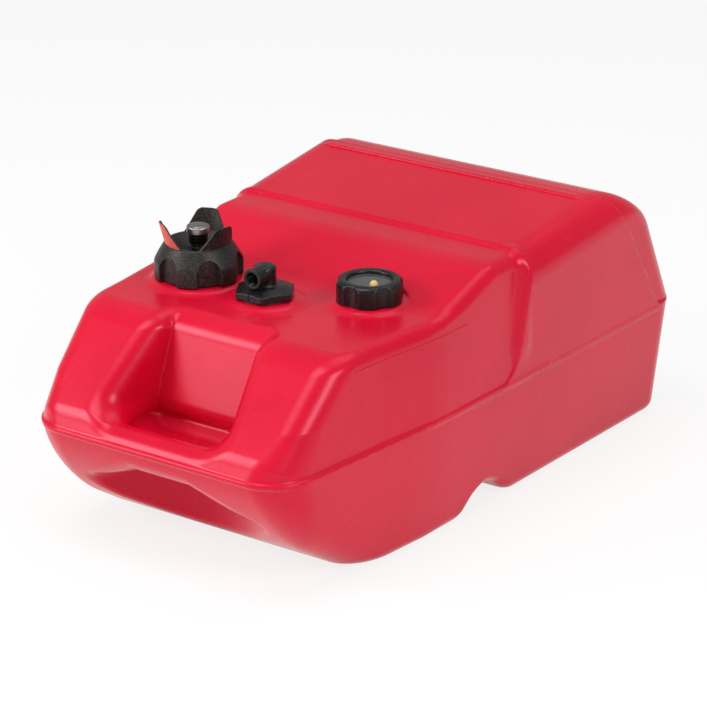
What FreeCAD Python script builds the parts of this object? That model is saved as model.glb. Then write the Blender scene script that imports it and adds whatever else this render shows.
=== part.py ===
import FreeCAD, Part

import math
import os
import re

import Sketcher
from FreeCAD import Placement, Rotation, Vector

# A portable outboard fuel tank: a hollow moulded tank with a screwed filler cap and its vent
# button, an outlet elbow with a pickup tube, and a direct-sight fuel gauge with a float.
# Millimetres.  +Z is up, -Y is the carrying end, and the origin is the middle of the base.

SIZES = {
    "Tank body": {
        "tank_length": (580, "front to rear over the parting line"),
        "parting_height": (109, "height of the parting line"),
        "parting_half": (152.5, "half width at the parting line, at the middle of the length"),
        "plan_flare": (0.02, "how much each side moves out per mm towards the rear"),
        "side_flare": (0.086, "how much the lower and rear walls lean out per mm of height"),
        "front_half": (133, "half width of the front edge before its corners are rounded"),
        "front_taper_length": (193, "length of the narrowing front stretch of each side"),
        "front_corner": (30, "plan radius of the lower half's front corners"),
        "rear_corner": (30, "plan radius of the rear corners"),
        "wall": (4, "thickness of the moulded wall"),
    },
    "Lower half": {
        "base_front": (181, "distance of the base's front edge ahead of the middle"),
        "base_rear": (284, "distance of the base's rear edge behind the middle"),
        "base_edge": (17, "radius of the edges round the base"),
        "chin_setback": (20, "how far the front has swept back at the chin"),
        "chin_height": (56, "height of the chin, where the front turns under"),
        "chin_radius": (150, "side view radius of the front's sweep"),
        "strap_front": (46, "front edge of the strap channel, ahead of the middle"),
        "strap_rear": (26, "rear edge of the strap channel, behind the middle"),
        "strap_depth": (21, "depth of the strap channel"),
        "strap_roof": (12, "half width of the strap channel's flat roof"),
        "strap_radius": (14, "radius of the strap channel's corners"),
    },
    "Nose and deck": {
        "mould_step": (3, "how far the deck half and the rear cap sit inside the band"),
        "nose_corner": (15, "radius of the edges along both sides of the nose"),
        "nose_setback": (0.873, "how far the nose leans back per mm of height"),
        "deck_draft": (0.03, "how much the deck half leans in per mm of height"),
        "deck_height": (195, "height of the deck"),
        "deck_edge": (14, "radius of the edges round the deck"),
        "rise_start": (82, "where the deck starts to rise, ahead of the middle"),
        "rise_height": (220, "height to which the deck rises at the ridge"),
        "rise_top": (8, "where the rise ends, ahead of the middle"),
        "rise_radius": (60, "side view radius at the foot of the rise"),
        "rise_crown": (60, "side view radius at the top of the rise"),
    },
    "Rear block": {
        "ridge_height": (224, "height of the ridge at the front of the block"),
        "ridge_place": (32, "distance of the ridge behind the middle, at its top"),
        "ridge_lean": (0.118, "how much the ridge leans back per mm of height"),
        "ridge_foot": (28, "radius where the ridge turns into the parting line"),
        "crease_height": (234, "height of the block at the crease"),
        "crease_place": (161, "distance of the crease behind the middle, at its top"),
        "crease_lean": (0.738, "how much the crease falls back per mm it drops"),
        "crease_foot": (9, "radius where the crease turns into the parting line"),
        "block_edge": (33, "radius of the edges along the block"),
        "tail_slope": (0.12, "fall of the roof behind the crease per mm"),
        "tail_lean": (0.6, "how far the rear wall leans in per mm of height"),
        "tail_crown": (90, "side view radius between that roof and the rear wall"),
        "tail_step": (2, "how far the foot of the rear wall sits inside the lower half"),
    },
    "Hand grip": {
        "pocket_top": (180, "height of the top of the grip pocket's back wall"),
        "pocket_floor": (108, "height of the grip pocket's floor"),
        "pocket_half": (47, "half width of the pocket's back wall"),
        "pocket_back": (200, "distance of the top of the back wall ahead of the middle"),
        "pocket_back_foot": (218, "distance of the foot of the back wall ahead of the middle"),
        "pocket_flare": (0.54, "how much each side of the pocket flares out per mm forwards"),
        "bar_back": (236, "distance of the grip bar's inner face ahead of the middle"),
        "bar_top": (121, "height of the grip bar"),
        "grip_roof": (82, "height of the roof of the hollow under the grip bar"),
        "grip_roof_half": (36, "half width of that roof"),
        "grip_foot_half": (88, "half width of the hollow at the base"),
        "grip_back": (203, "distance of the hollow's back wall ahead of the middle"),
    },
    "Filler neck": {
        "cap_left": (77, "distance of the filler's axis to the left of the middle"),
        "cap_ahead": (123, "distance of the filler's axis ahead of the middle"),
        "collar_height": (4, "height of the low collar round each fitting"),
        "collar_slope": (4, "how far the foot of each collar reaches past its top"),
        "seat_gap": (2.5, "gap between the cap or the gauge's ring and the rising deck"),
        "filler_collar": (39, "radius of the collar round the filler"),
        "neck_radius": (27, "outer radius of the filler neck"),
        "neck_bore": (22.5, "radius of the filler neck's bore"),
        "neck_height": (20, "height of the filler neck above the deck"),
    },
    "Filler cap": {
        "cap_gasket": (2.5, "thickness of the cap's gasket"),
        "thread_clearance": (0.08, "radial clearance of the cap's sleeve on the neck"),
        "sleeve_wall": (3.5, "wall of the threaded sleeve"),
        "cap_radius": (38, "radius of the cap's skirt"),
        "cap_lift_gap": (0.8, "gap between the skirt and the collar"),
        "cap_shoulder": (21, "height of the skirt's shoulder above the deck"),
        "cap_plate": (4, "thickness of the cap's plate over the neck"),
        "crater_radius": (27, "radius of the raised rim on the cap"),
        "crater_height": (35, "height of that rim above the deck"),
        "crater_floor": (14, "radius of the sunken floor inside the rim"),
        "recess_count": (8, "number of arched recesses round the skirt"),
        "recess_width": (20, "width of each recess"),
        "recess_depth": (4.4, "depth of each recess"),
        "recess_top": (25, "height of the recesses' tops above the deck"),
        "fin_angle": (112, "direction of the first fin, from +X"),
        "fin_foot": (15, "half width of a fin at its foot"),
        "fin_tip": (7.5, "half width of a fin at its tip"),
        "fin_reach": (30.5, "distance of a fin's tip from the axis"),
        "fin_height": (54, "height of a fin's tip above the deck"),
        "fin_thickness": (2.8, "thickness of a fin"),
        "marker_thickness": (0.8, "thickness of the marker on one fin"),
        "marker_margin": (2, "margin round the marker"),
    },
    "Vent": {
        "stem_radius": (4, "radius of the vent stem"),
        "sliding_clearance": (0.08, "radial clearance of what slides"),
        "button_radius": (10, "radius of the vent button"),
        "button_top": (49, "height of the button's top above the deck"),
        "button_thickness": (6, "thickness of the button"),
        "vent_travel": (5, "travel of the vent button"),
        "ridge_radius": (8, "radius of the ridges on the vent's collar"),
        "ridge_pitch": (2.6, "spacing of those ridges"),
        "spring_radius": (7, "outer radius of the vent spring"),
        "seal_radius": (9, "radius of the vent seal"),
        "seal_thickness": (3, "thickness of the vent seal"),
    },
    "Outlet": {
        "outlet_ahead": (132, "distance of the outlet's axis ahead of the middle"),
        "outlet_collar": (29, "radius of the collar round the outlet"),
        "hex_flats": (46.4, "width of the outlet's hexagon over its flats"),
        "hex_height": (9, "height of the hexagon"),
        "outlet_gasket_radius": (21, "radius of the outlet's gasket"),
        "outlet_gasket": (2, "thickness of the outlet's gasket"),
        "spigot_radius": (12, "radius of the outlet's threaded spigot"),
        "spigot_depth": (14, "reach of the spigot below the deck"),
        "elbow_radius": (9.7, "radius of the elbow's upright"),
        "elbow_height": (17, "height of the elbow above the hexagon"),
        "port_radius": (8.8, "radius of the side port"),
        "port_reach": (18, "distance of the port's mouth from the axis"),
        "port_height": (9, "height of the port's axis above the hexagon"),
        "port_bore": (5.8, "radius of the port's threaded bore"),
        "port_depth": (12, "length of that bore"),
        "passage_radius": (4, "radius of the passage through the elbow"),
        "tube_wall": (1.2, "wall of the pickup tube"),
        "tube_seat": (10, "length of the pickup tube inside the spigot"),
        "filter_radius": (9, "radius of the pickup filter"),
        "filter_height": (20, "height of the pickup filter"),
        "filter_grip": (8, "length of the tube inside the filter"),
        "filter_gap": (3, "gap between the filter and the tank's floor"),
    },
    "Gauge": {
        "gauge_right": (75, "distance of the gauge's axis to the right of the middle"),
        "gauge_ahead": (87, "distance of the gauge's axis ahead of the middle"),
        "gauge_collar": (31, "radius of the collar round the gauge"),
        "gauge_bore": (17.5, "radius of the hole under the gauge"),
        "gauge_gasket": (1.5, "thickness of the gauge's gasket"),
        "lens_seat": (2.8, "how far the housing's flange reaches past the lens"),
        "flange_radius": ("=lens_radius + lens_seat", "radius of the housing's flange"),
        "flange_thickness": (2.5, "thickness of the housing's flange"),
        "cup_depth": (16, "depth of the housing below the deck"),
        "cup_wall": (2.3, "wall of the housing"),
        "ring_clearance": (0.3, "gap between the flange and the clamping ring"),
        "ring_wall": (3.9, "wall of the clamping ring"),
        "ring_radius": ("=flange_radius + ring_clearance + ring_wall", "outer radius of the clamping ring"),
        "ring_height": (23, "height of the ring above the deck"),
        "ring_opening": (19, "radius of the ring's opening"),
        "scallop_count": (6, "number of scallops round the ring"),
        "scallop_radius": (40, "radius of each scallop"),
        "scallop_depth": (1.9, "depth of each scallop"),
        "lens_radius": (21.5, "radius of the gauge's lens"),
        "lens_thickness": (2.5, "thickness of the lens"),
        "lens_height": (17, "height of the lens's underside above the deck"),
        "dial_thickness": (1, "thickness of the dial"),
        "dial_wall": (1.9, "wall of the dial's rim"),
        "pointer_reach": (11.6, "length of the pointer"),
        "pointer_angle": (107, "direction of the pointer, from +X"),
        "pointer_height": (10.2, "height of the pointer's underside above the deck"),
        "pointer_thickness": (1.2, "thickness of the pointer"),
        "pointer_half": (2, "half width of the pointer at its hub"),
        "pointer_bead": (3.6, "radius of the bead at the pointer's end"),
        "hub_radius": (4, "radius of the pointer's hub"),
        "shaft_radius": (1.6, "radius of the pointer's shaft"),
    },
    "Float": {
        "strip_half": (2, "half width of the twisted strip"),
        "strip_thickness": (1, "thickness of the twisted strip"),
        "strip_twist": (2.3478, "twist of the strip in degrees per mm"),
        "strip_gap": (0.3, "clearance of the strip in the float's slot"),
        "rod_radius": (2, "radius of the frame's guide rods"),
        "rod_spacing": (24, "distance between the guide rods"),
        "bridge_thickness": (4, "thickness of the frame's bridge and foot"),
        "bridge_half": (4, "half width of the bridge and foot"),
        "foot_height": (10, "height of the frame's foot above the base"),
        "float_radius": (17, "radius of the float"),
        "float_height": (24, "height of the float"),
        "float_bore": (6, "radius of the float's clearance hole"),
        "slot_plate": (1.5, "thickness of the float's slotted plate"),
        "float_travel": (115, "travel of the float"),
    },
}

doc = FreeCAD.newDocument("fuel_tank")
sheet = doc.addObject("Spreadsheet::Sheet", "Sizes")
row = 0
for section, entries in SIZES.items():
    row += 1
    sheet.set(f"A{row}", section)
    for alias, (number, note) in entries.items():
        row += 1
        sheet.set(f"A{row}", note)
        sheet.set(f"B{row}", str(number))
        sheet.setAlias(f"B{row}", alias)
doc.recompute()
ALIASES = {alias for entries in SIZES.values() for alias in entries}
FLAT = "flat"


def full(expression):
    """The expression with each size written as a cell of the sheet."""
    return re.sub(r"[a-z_0-9]+", lambda m: "Sizes." + m[0] if m[0] in ALIASES else m[0], str(expression))


def size(expression):
    """The number that an expression of sizes gives now."""
    return float(sheet.evalExpression(full(expression)))


def bind(item, **properties):
    for name, expression in properties.items():
        item.setExpression(name.replace("__", "."), full(expression))
    return item


def rounded_outline(sketch, corners):
    """A closed outline of straight lines whose corners (x, y, radius) are rounded.  Each corner
    and radius is bound to the sheet; a radius of 0 leaves the corner sharp, and a fourth entry,
    FLAT, cuts the corner off straight, by the third one's length along each side."""
    count = len(corners)
    points = [Vector(size(x), size(y), 0) for x, y, *cut in corners]
    radii = [size(cut[0]) for x, y, *cut in corners]
    starts, ends, arcs = [], [], []
    for i, point in enumerate(points):
        before = (points[i - 1] - point).normalize()
        after = (points[(i + 1) % count] - point).normalize()
        if not radii[i]:
            starts.append(point)
            ends.append(point)
            arcs.append(None)
            continue
        if FLAT in corners[i]:
            starts.append(point + before * radii[i])
            ends.append(point + after * radii[i])
            arcs.append(Part.LineSegment(starts[-1], ends[-1]))
            continue
        half = before.getAngle(after) / 2
        reach = radii[i] / math.tan(half)
        centre = point + (before + after).normalize() * (radii[i] / math.sin(half))
        first, last = point + before * reach, point + after * reach
        middle = centre + (point - centre).normalize() * radii[i]
        starts.append(first)
        ends.append(last)
        arcs.append(Part.Arc(first, middle, last))
    lines = []
    for i in range(count):
        j = (i + 1) % count
        lines.append(sketch.addGeometry(Part.LineSegment(ends[i], starts[j]), False))
    for i in range(count):
        x, y, r = corners[i][:3]
        mark = sketch.addGeometry(Part.Point(points[i]), True)
        before, after = lines[i - 1], lines[i]
        if arcs[i] is None:
            sketch.addConstraint(Sketcher.Constraint("Coincident", before, 2, after, 1))
            sketch.addConstraint(Sketcher.Constraint("Coincident", mark, 1, after, 1))
        elif FLAT in corners[i]:
            cut = sketch.addGeometry(arcs[i], False)
            sketch.addConstraint(Sketcher.Constraint("Coincident", before, 2, cut, 1))
            sketch.addConstraint(Sketcher.Constraint("Coincident", after, 1, cut, 2))
            sketch.addConstraint(Sketcher.Constraint("PointOnObject", mark, 1, before))
            sketch.addConstraint(Sketcher.Constraint("PointOnObject", mark, 1, after))
            for end in (1, 2):
                k = sketch.addConstraint(Sketcher.Constraint("Distance", cut, end, mark, 1, radii[i]))
                sketch.setExpression(f"Constraints[{k}]", full(r))
        else:
            arc = sketch.addGeometry(arcs[i], False)
            end_first = 1 if sketch.getPoint(arc, 1).distanceToPoint(starts[i]) < 1e-6 else 2
            sketch.addConstraint(Sketcher.Constraint("Tangent", before, 2, arc, end_first))
            sketch.addConstraint(Sketcher.Constraint("Tangent", after, 1, arc, 3 - end_first))
            sketch.addConstraint(Sketcher.Constraint("PointOnObject", mark, 1, before))
            sketch.addConstraint(Sketcher.Constraint("PointOnObject", mark, 1, after))
            k = sketch.addConstraint(Sketcher.Constraint("Radius", arc, radii[i]))
            sketch.setExpression(f"Constraints[{k}]", full(r))
        for kind, expression, number in (("DistanceX", x, points[i].x), ("DistanceY", y, points[i].y)):
            k = sketch.addConstraint(Sketcher.Constraint(kind, -1, 1, mark, 1, number))
            sketch.setExpression(f"Constraints[{k}]", full(expression))
    return sketch


def side_sketch(name, corners):
    """A closed outline in the side view, drawn as (y, z, radius)."""
    sketch = doc.addObject("Sketcher::SketchObject", name)
    sketch.Placement = Placement(Vector(0, 0, 0), Rotation(Vector(1, 1, 1), 120))
    return rounded_outline(sketch, corners)


def across(name, sketch, half):
    """A side view outline drawn out to both sides."""
    item = doc.addObject("Part::Extrusion", name)
    item.Base = sketch
    item.DirMode = "Custom"
    item.Dir = Vector(1, 0, 0)
    item.Solid = True
    item.Symmetric = True
    return bind(item, LengthFwd=f"2 * ({half})")


def joined(kind, name, parts):
    item = doc.addObject(kind, name)
    if kind in ("Part::MultiFuse", "Part::MultiCommon"):
        item.Shapes = parts
    else:
        item.Base, item.Tool = parts
    return item


def walls(name, grow, lean):
    """A block whose long sides follow the tank's plan and lean out by lean per mm of height.
    Each side is a plan outline drawn out along its slant; the two meet as one solid."""
    taper = "((parting_half - plan_flare * (tank_length/2 - front_taper_length) - front_half)"
    taper += " / front_taper_length)"
    bend = "(front_taper_length - tank_length/2)"
    front = "(-tank_length/2 - 80)"
    rear = "(tank_length/2 + 80)"
    side_grow = f"({grow}) * sqrt(1 + plan_flare^2 + ({lean})^2)"
    taper_grow = f"({grow}) * sqrt(1 + {taper}^2 + ({lean})^2)"
    shift = f"(({side_grow}) - ({taper_grow})) / ({taper} - plan_flare)"
    sketch = doc.addObject("Sketcher::SketchObject", f"{name}_plan")
    rounded_outline(sketch, [
        ("-2 * parting_half", front, "0"),
        (f"parting_half + plan_flare * {bend} + {taper} * ({front} - {bend}) + {taper_grow}", front, "0"),
        (f"parting_half + plan_flare * ({bend} + {shift}) + {side_grow}", f"{bend} + {shift}", "0"),
        (f"parting_half + plan_flare * {rear} + {side_grow}", rear, "0"),
        ("-2 * parting_half", rear, "0"),
    ])
    bind(sketch, Placement__Base__z="parting_height")
    right = doc.addObject("Part::Extrusion", f"{name}_right")
    right.Base = sketch
    right.DirMode = "Custom"
    right.Dir = Vector(0, 0, 1)
    right.Solid = True
    bind(right, Dir__x=lean, LengthFwd="2 * parting_height", LengthRev="2 * parting_height")
    left = doc.addObject("Part::Mirroring", f"{name}_left")
    left.Source = right
    left.Normal = Vector(1, 0, 0)
    return joined("Part::MultiCommon", name, [right, left])


def fillet(name, base, radius, chosen):
    """Rounds the edges of base that chosen(edge) picks, all with one radius."""
    doc.recompute()
    item = doc.addObject("Part::Fillet", name)
    item.Base = base
    number = size(radius)
    picked = [k + 1 for k, edge in enumerate(base.Shape.Edges) if chosen(edge)]
    item.Edges = [(k, number, number) for k in picked]
    return item


def upright(edge, side):
    """Whether the edge climbs in the front (-1) or rear (1) quarter of the tank's length."""
    ends = edge.Vertexes
    climbs = abs(ends[0].Z - ends[-1].Z) > 5
    return climbs and all(side * v.Y > size("tank_length/4") for v in ends)


def slab(name, bottom, top):
    """A block wider than the tank, between two heights."""
    item = doc.addObject("Part::Box", name)
    bind(item, Length="4 * parting_half", Width="2 * tank_length", Height=f"({top}) - ({bottom})")
    bind(item, Placement__Base__x="-2 * parting_half", Placement__Base__y="-tank_length",
         Placement__Base__z=bottom)
    return item


def lower_form(tag, grow):
    """The lower half, drawn on above the parting line: sides that lean out, a front that sweeps
    back under the chin, and a nearly upright rear wall.  grow moves every face outwards."""
    over = "2 * parting_height"
    under_run = "(tank_length/2 - chin_setback - base_front)"
    under_length = f"sqrt({under_run}^2 + chin_height^2)"
    front_rise = "(parting_height - chin_height)"
    front_length = f"sqrt(chin_setback^2 + {front_rise}^2)"
    turn = f"({front_rise} * {under_run} - chin_setback * chin_height)"
    chin_y = f"-({grow}) * ({front_length} * {under_run} - chin_setback * {under_length}) / {turn}"
    chin_z = f"-({grow}) * ({front_rise} * {under_length} - chin_height * {front_length}) / {turn}"
    rear_lean = "((tank_length/2 - base_rear) / parting_height)"
    rear = f"base_rear + ({grow}) * sqrt(1 + {rear_lean}^2)"
    profile = side_sketch(f"{tag}_lower_profile", [
        (f"-base_front - ({grow}) * ({under_length} - {under_run}) / chin_height", f"-({grow})", "0"),
        (f"{rear} - {rear_lean} * ({grow})", f"-({grow})", "0"),
        (f"{rear} + {rear_lean} * {over}", over, "0"),
        (f"-tank_length/2 - (chin_setback * ({over} - parting_height) + ({grow}) * {front_length}) / {front_rise}",
         over, "0"),
        (f"-tank_length/2 + chin_setback + {chin_y}", f"chin_height + {chin_z}", f"chin_radius + ({grow})"),
    ])
    raw = joined("Part::MultiCommon", f"{tag}_lower_raw",
                 [walls(f"{tag}_lower_walls", grow, "side_flare"),
                  across(f"{tag}_lower_slab", profile, "tank_length/2")])
    front_edges = fillet(f"{tag}_lower_front", raw, f"front_corner + ({grow})", lambda e: upright(e, -1))
    rear_edges = fillet(f"{tag}_lower_rear", front_edges, f"rear_corner + ({grow})",
                        lambda e: upright(e, 1))
    return fillet(f"{tag}_lower_form", rear_edges, f"base_edge + ({grow})",
                  lambda e: all(abs(v.Z + size(grow)) < 0.001 for v in e.Vertexes))


def deck_form(tag, grow):
    """The deck half ahead of the ridge: a nose that leans back, a flat deck, and a roof that
    rises to the block in a smooth curve.  grow moves every face outwards."""
    foot = "(parting_height - base_edge)"
    nose = f"-tank_length/2 + mould_step - ({grow}) * sqrt(1 + nose_setback^2)"
    end = "(ridge_place + 40)"
    run = "(rise_start - rise_top)"
    rise = "(rise_height - deck_height)"
    shift = f"({grow}) * (sqrt({run}^2 + {rise}^2) - {run}) / {rise}"
    profile = side_sketch(f"{tag}_deck_profile", [
        (f"{nose} - nose_setback * base_edge", foot, "0"),
        (end, foot, "0"),
        (end, f"rise_height + ({grow})", "0"),
        (f"-rise_top - {shift}", f"rise_height + ({grow})", f"rise_crown + ({grow})"),
        (f"-rise_start - {shift}", f"deck_height + ({grow})", f"rise_radius - ({grow})"),
        (f"{nose} + nose_setback * (deck_height - parting_height + ({grow}))", f"deck_height + ({grow})", "0"),
    ])
    raw = joined("Part::MultiCommon", f"{tag}_deck_raw",
                 [walls(f"{tag}_deck_walls", f"({grow}) - mould_step", "-deck_draft"),
                  across(f"{tag}_deck_slab", profile, "tank_length/2")])
    corners = fillet(f"{tag}_deck_corners", raw, f"nose_corner + ({grow})", lambda e: upright(e, -1))

    def roof_edge(edge):
        ends = edge.Vertexes
        behind_nose = ends[0].Y > -2 * size("rise_start")
        crosses = abs(ends[0].X - ends[-1].X) > size("parting_half") and behind_nose
        return min(v.Z for v in ends) > size(f"deck_height + ({grow})") - 1 and not crosses
    return fillet(f"{tag}_deck_form", corners, f"deck_edge + ({grow})", roof_edge)


def band_form(tag, grow):
    """The rear block without its ends: side walls in line with the lower half, and a roof that
    climbs a little towards the rear.  grow moves every face outwards."""
    climb = "((crease_height - ridge_height) / (crease_place - ridge_place))"
    front = "(ridge_place - 60)"
    rear = "(tank_length/2 + 60)"
    top = f"ridge_height + ({grow}) * sqrt(1 + {climb}^2)"
    profile = side_sketch(f"{tag}_band_profile", [
        (front, "parting_height - wall", "0"),
        (rear, "parting_height - wall", "0"),
        (rear, f"{top} + {climb} * ({rear} - ridge_place)", "0"),
        (front, f"{top} + {climb} * ({front} - ridge_place)", "0"),
    ])
    raw = joined("Part::MultiCommon", f"{tag}_band_raw",
                 [walls(f"{tag}_band_walls", grow, "side_flare"),
                  across(f"{tag}_band_slab", profile, "tank_length/2")])

    def roof_edge(edge):
        ends = edge.Vertexes
        return min(v.Z for v in ends) > size("rise_height - 30") and abs(ends[0].X - ends[-1].X) < 60
    return fillet(f"{tag}_band_form", raw, f"block_edge + ({grow})", roof_edge)


def band_region(tag, grow):
    """The side view region of the rear block: it ends in the leaning ridge ahead and in the
    crease behind, and both run out into the parting line."""
    over = "crease_height + 30"
    ridge = f"ridge_place - ({grow}) * sqrt(1 + ridge_lean^2)"
    crease = f"crease_place + ({grow}) * sqrt(1 + crease_lean^2)"
    ridge_at = f"{ridge} + ridge_lean * (({{0}}) - ridge_height)"
    crease_at = f"{crease} + crease_lean * (crease_height - ({{0}}))"
    profile = side_sketch(f"{tag}_band_region_profile", [
        (ridge_at.format("parting_height") + " - 60", "parting_height - wall", "0"),
        (crease_at.format("parting_height") + " + 0.6 * crease_foot", "parting_height - wall", "0"),
        (crease_at.format("parting_height") + " + 0.6 * crease_foot", "parting_height", "0"),
        (crease_at.format("parting_height"), "parting_height", f"crease_foot - ({grow})"),
        (crease_at.format(over), over, "0"),
        (ridge_at.format(over), over, "0"),
        (ridge_at.format("parting_height"), "parting_height", f"ridge_foot - ({grow})"),
        (ridge_at.format("parting_height") + " - 60", "parting_height", "0"),
    ])
    return across(f"{tag}_band_region", profile, "2 * parting_half")


def tail_form(tag, grow):
    """The rear cap behind the crease, a step inside the block: a falling roof and a rear wall
    that leans in.  grow moves every face outwards."""
    front = "(crease_place - 40)"
    foot = f"(tank_length/2 - tail_step + ({grow}) * sqrt(1 + tail_lean^2))"
    roof = f"(crease_height - mould_step + ({grow}) * sqrt(1 + tail_slope^2))"
    rise = f"({roof} + tail_slope * crease_place - parting_height)"
    meet = f"(({foot} - tail_lean * {rise}) / (1 - tail_lean * tail_slope))"
    profile = side_sketch(f"{tag}_tail_profile", [
        (front, "parting_height - base_edge", "0"),
        (f"{foot} + tail_lean * base_edge", "parting_height - base_edge", "0"),
        (meet, f"{roof} - tail_slope * ({meet} - crease_place)", f"tail_crown + ({grow})"),
        (front, f"{roof} - tail_slope * ({front} - crease_place)", "0"),
    ])
    raw = joined("Part::MultiCommon", f"{tag}_tail_raw",
                 [walls(f"{tag}_tail_walls", f"({grow}) - mould_step", "side_flare"),
                  across(f"{tag}_tail_slab", profile, "tank_length/2")])

    def roof_edge(edge):
        ends = edge.Vertexes
        crosses = abs(ends[0].X - ends[-1].X) > size("parting_half")
        climbs = max(v.Z for v in ends) > size("parting_height")
        return climbs and not crosses and max(v.Y for v in ends) > size(front) + 1
    return fillet(f"{tag}_tail_form", raw, f"block_edge + ({grow})", roof_edge)


def trimmed(name, form, level, above):
    """The part of a form above or below a level."""
    low, high = (level, f"({level}) + 3 * parting_height") if above else (f"({level}) - 3 * parting_height", level)
    return joined("Part::MultiCommon", name, [form, slab(f"{name}_slab", low, high)])


def whole_form(tag, grow, joint):
    """The tank's whole form: four bodies that meet at the parting line, the ridge and the
    crease.  joint is the height at which the upper bodies start."""
    return joined("Part::MultiFuse", f"{tag}_form", [
        trimmed(f"{tag}_lower_half", lower_form(tag, grow), f"parting_height + ({grow})", False),
        trimmed(f"{tag}_deck_half", deck_form(tag, grow), joint, True),
        joined("Part::MultiCommon", f"{tag}_band", [band_form(tag, grow), band_region(tag, grow)]),
        trimmed(f"{tag}_rear_cap", tail_form(tag, grow), joint, True),
    ])


def grown(name, form):
    """A form with every face moved out by the wall's thickness."""
    item = doc.addObject("Part::Offset", name)
    item.Source = form
    return bind(item, Value="wall")


def placed(item, x, y, z, angle=0, axis=Vector(0, 0, 1)):
    """Gives an object its place, with x, y and z bound to the sheet."""
    item.Placement = Placement(Vector(0, 0, 0), Rotation(axis, angle))
    return bind(item, Placement__Base__x=x, Placement__Base__y=y, Placement__Base__z=z)


def cylinder(name, radius, height, x, y, z, angle=0, axis=Vector(1, 0, 0)):
    item = doc.addObject("Part::Cylinder", name)
    return placed(bind(item, Radius=radius, Height=height), x, y, z, angle, axis)


def box(name, length, width, height, x, y, z, angle=0):
    item = doc.addObject("Part::Box", name)
    return placed(bind(item, Length=length, Width=width, Height=height), x, y, z, angle)


def turned(name, outline, x, y):
    """A turned piece: an outline of (radius, height, corner radius) about an upright axis."""
    sketch = doc.addObject("Sketcher::SketchObject", f"{name}_outline")
    sketch.Placement = Placement(Vector(0, 0, 0), Rotation(Vector(1, 0, 0), 90))
    rounded_outline(sketch, outline)
    item = doc.addObject("Part::Revolution", name)
    item.Source = sketch
    item.Axis = Vector(0, 0, 1)
    item.Angle = 360
    item.Solid = True
    return placed(item, x, y, "0")


def prism(name, outline, length, x, y, z, rotation):
    """An outline of (u, v, corner radius) drawn out along its own normal, then turned to place."""
    sketch = doc.addObject("Sketcher::SketchObject", f"{name}_outline")
    rounded_outline(sketch, outline)
    item = doc.addObject("Part::Extrusion", name)
    item.Base = sketch
    item.DirMode = "Normal"
    item.Solid = True
    bind(item, LengthFwd=length)
    item.Placement = Placement(Vector(0, 0, 0), rotation)
    return bind(item, Placement__Base__x=x, Placement__Base__y=y, Placement__Base__z=z)


nodes = {}


def node(name, item):
    """Marks an object as a finished piece of the tank."""
    item.Label = name
    nodes[name] = item
    return item


# The hand grip: a pocket sunk into the deck half behind the bar, and a hollow under the bar.
upright_lean = "((pocket_back_foot - pocket_back) / (pocket_top - pocket_floor))"
pocket_side_view = side_sketch("pocket_side_view", [
    ("-tank_length/2 - 40", "bar_top - 2", "0"),
    ("-bar_back - 22", "bar_top - 2", "25"),
    ("-bar_back", "pocket_floor", "8"),
    ("-pocket_back_foot", "pocket_floor", "8"),
    (f"-pocket_back_foot + {upright_lean} * (deck_height + 60 - pocket_floor)", "deck_height + 60", "0"),
    ("-tank_length/2 - 40", "deck_height + 60", "0"),
])
pocket_plan = prism("pocket_plan", [
    ("-pocket_half + pocket_flare * (pocket_back - 100)", "-100", "0"),
    ("-pocket_half - pocket_flare * (tank_length/2 + 30 - pocket_back)", "-tank_length/2 - 30", "0"),
    ("pocket_half + pocket_flare * (tank_length/2 + 30 - pocket_back)", "-tank_length/2 - 30", "0"),
    ("pocket_half - pocket_flare * (pocket_back - 100)", "-100", "0"),
], "200", "0", "0", "parting_height - 20", Rotation())
pocket_front_view = prism("pocket_front_view", [
    ("-pocket_half", "parting_height - 20", "0"),
    ("pocket_half", "parting_height - 20", "0"),
    ("pocket_half + 4", "parting_height + 3", "8"),
    ("pocket_half + 90", "parting_height + 36", "0"),
    ("pocket_half + 90", "deck_height + 60", "0"),
    ("-pocket_half - 90", "deck_height + 60", "0"),
    ("-pocket_half - 90", "parting_height + 36", "0"),
    ("-pocket_half - 4", "parting_height + 3", "8"),
], "2 * tank_length", "0", "tank_length", "0", Rotation(Vector(1, 0, 0), 90))
pocket = joined("Part::MultiCommon", "grip_pocket", [
    across("pocket_slab", pocket_side_view, "parting_half"), pocket_plan, pocket_front_view,
])
hollow_side_view = side_sketch("hollow_side_view", [
    ("-tank_length/2 - 40", "-base_front", "0"),
    ("-grip_back", "-base_front", "0"),
    ("-grip_back", "grip_roof", "14"),
    ("-tank_length/2 + 22", "grip_roof", "20"),
    ("-tank_length/2 - 40", "grip_roof + 32", "0"),
])
hollow_front_view = prism("hollow_front_view", [
    ("-grip_foot_half - 50", "-75", "0"),
    ("grip_foot_half + 50", "-75", "0"),
    ("grip_foot_half", "0", "40"),
    ("grip_roof_half", "grip_roof + 12", "16"),
    ("-grip_roof_half", "grip_roof + 12", "16"),
    ("-grip_foot_half", "0", "40"),
], "2 * tank_length", "0", "tank_length", "0", Rotation(Vector(1, 0, 0), 90))
hollow = joined("Part::MultiCommon", "grip_hollow", [
    across("hollow_slab", hollow_side_view, "parting_half"), hollow_front_view,
])
channel_slope = "((strap_front + strap_rear - 2 * strap_roof) / (2 * strap_depth))"
channel = across("strap_channel", side_sketch("strap_side_view", [
    (f"-strap_front - {channel_slope} * strap_depth", "-strap_depth", "0"),
    (f"strap_rear + {channel_slope} * strap_depth", "-strap_depth", "0"),
    ("(strap_rear - strap_front)/2 + strap_roof", "strap_depth", "strap_radius"),
    ("(strap_rear - strap_front)/2 - strap_roof", "strap_depth", "strap_radius"),
]), "2 * parting_half")

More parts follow.
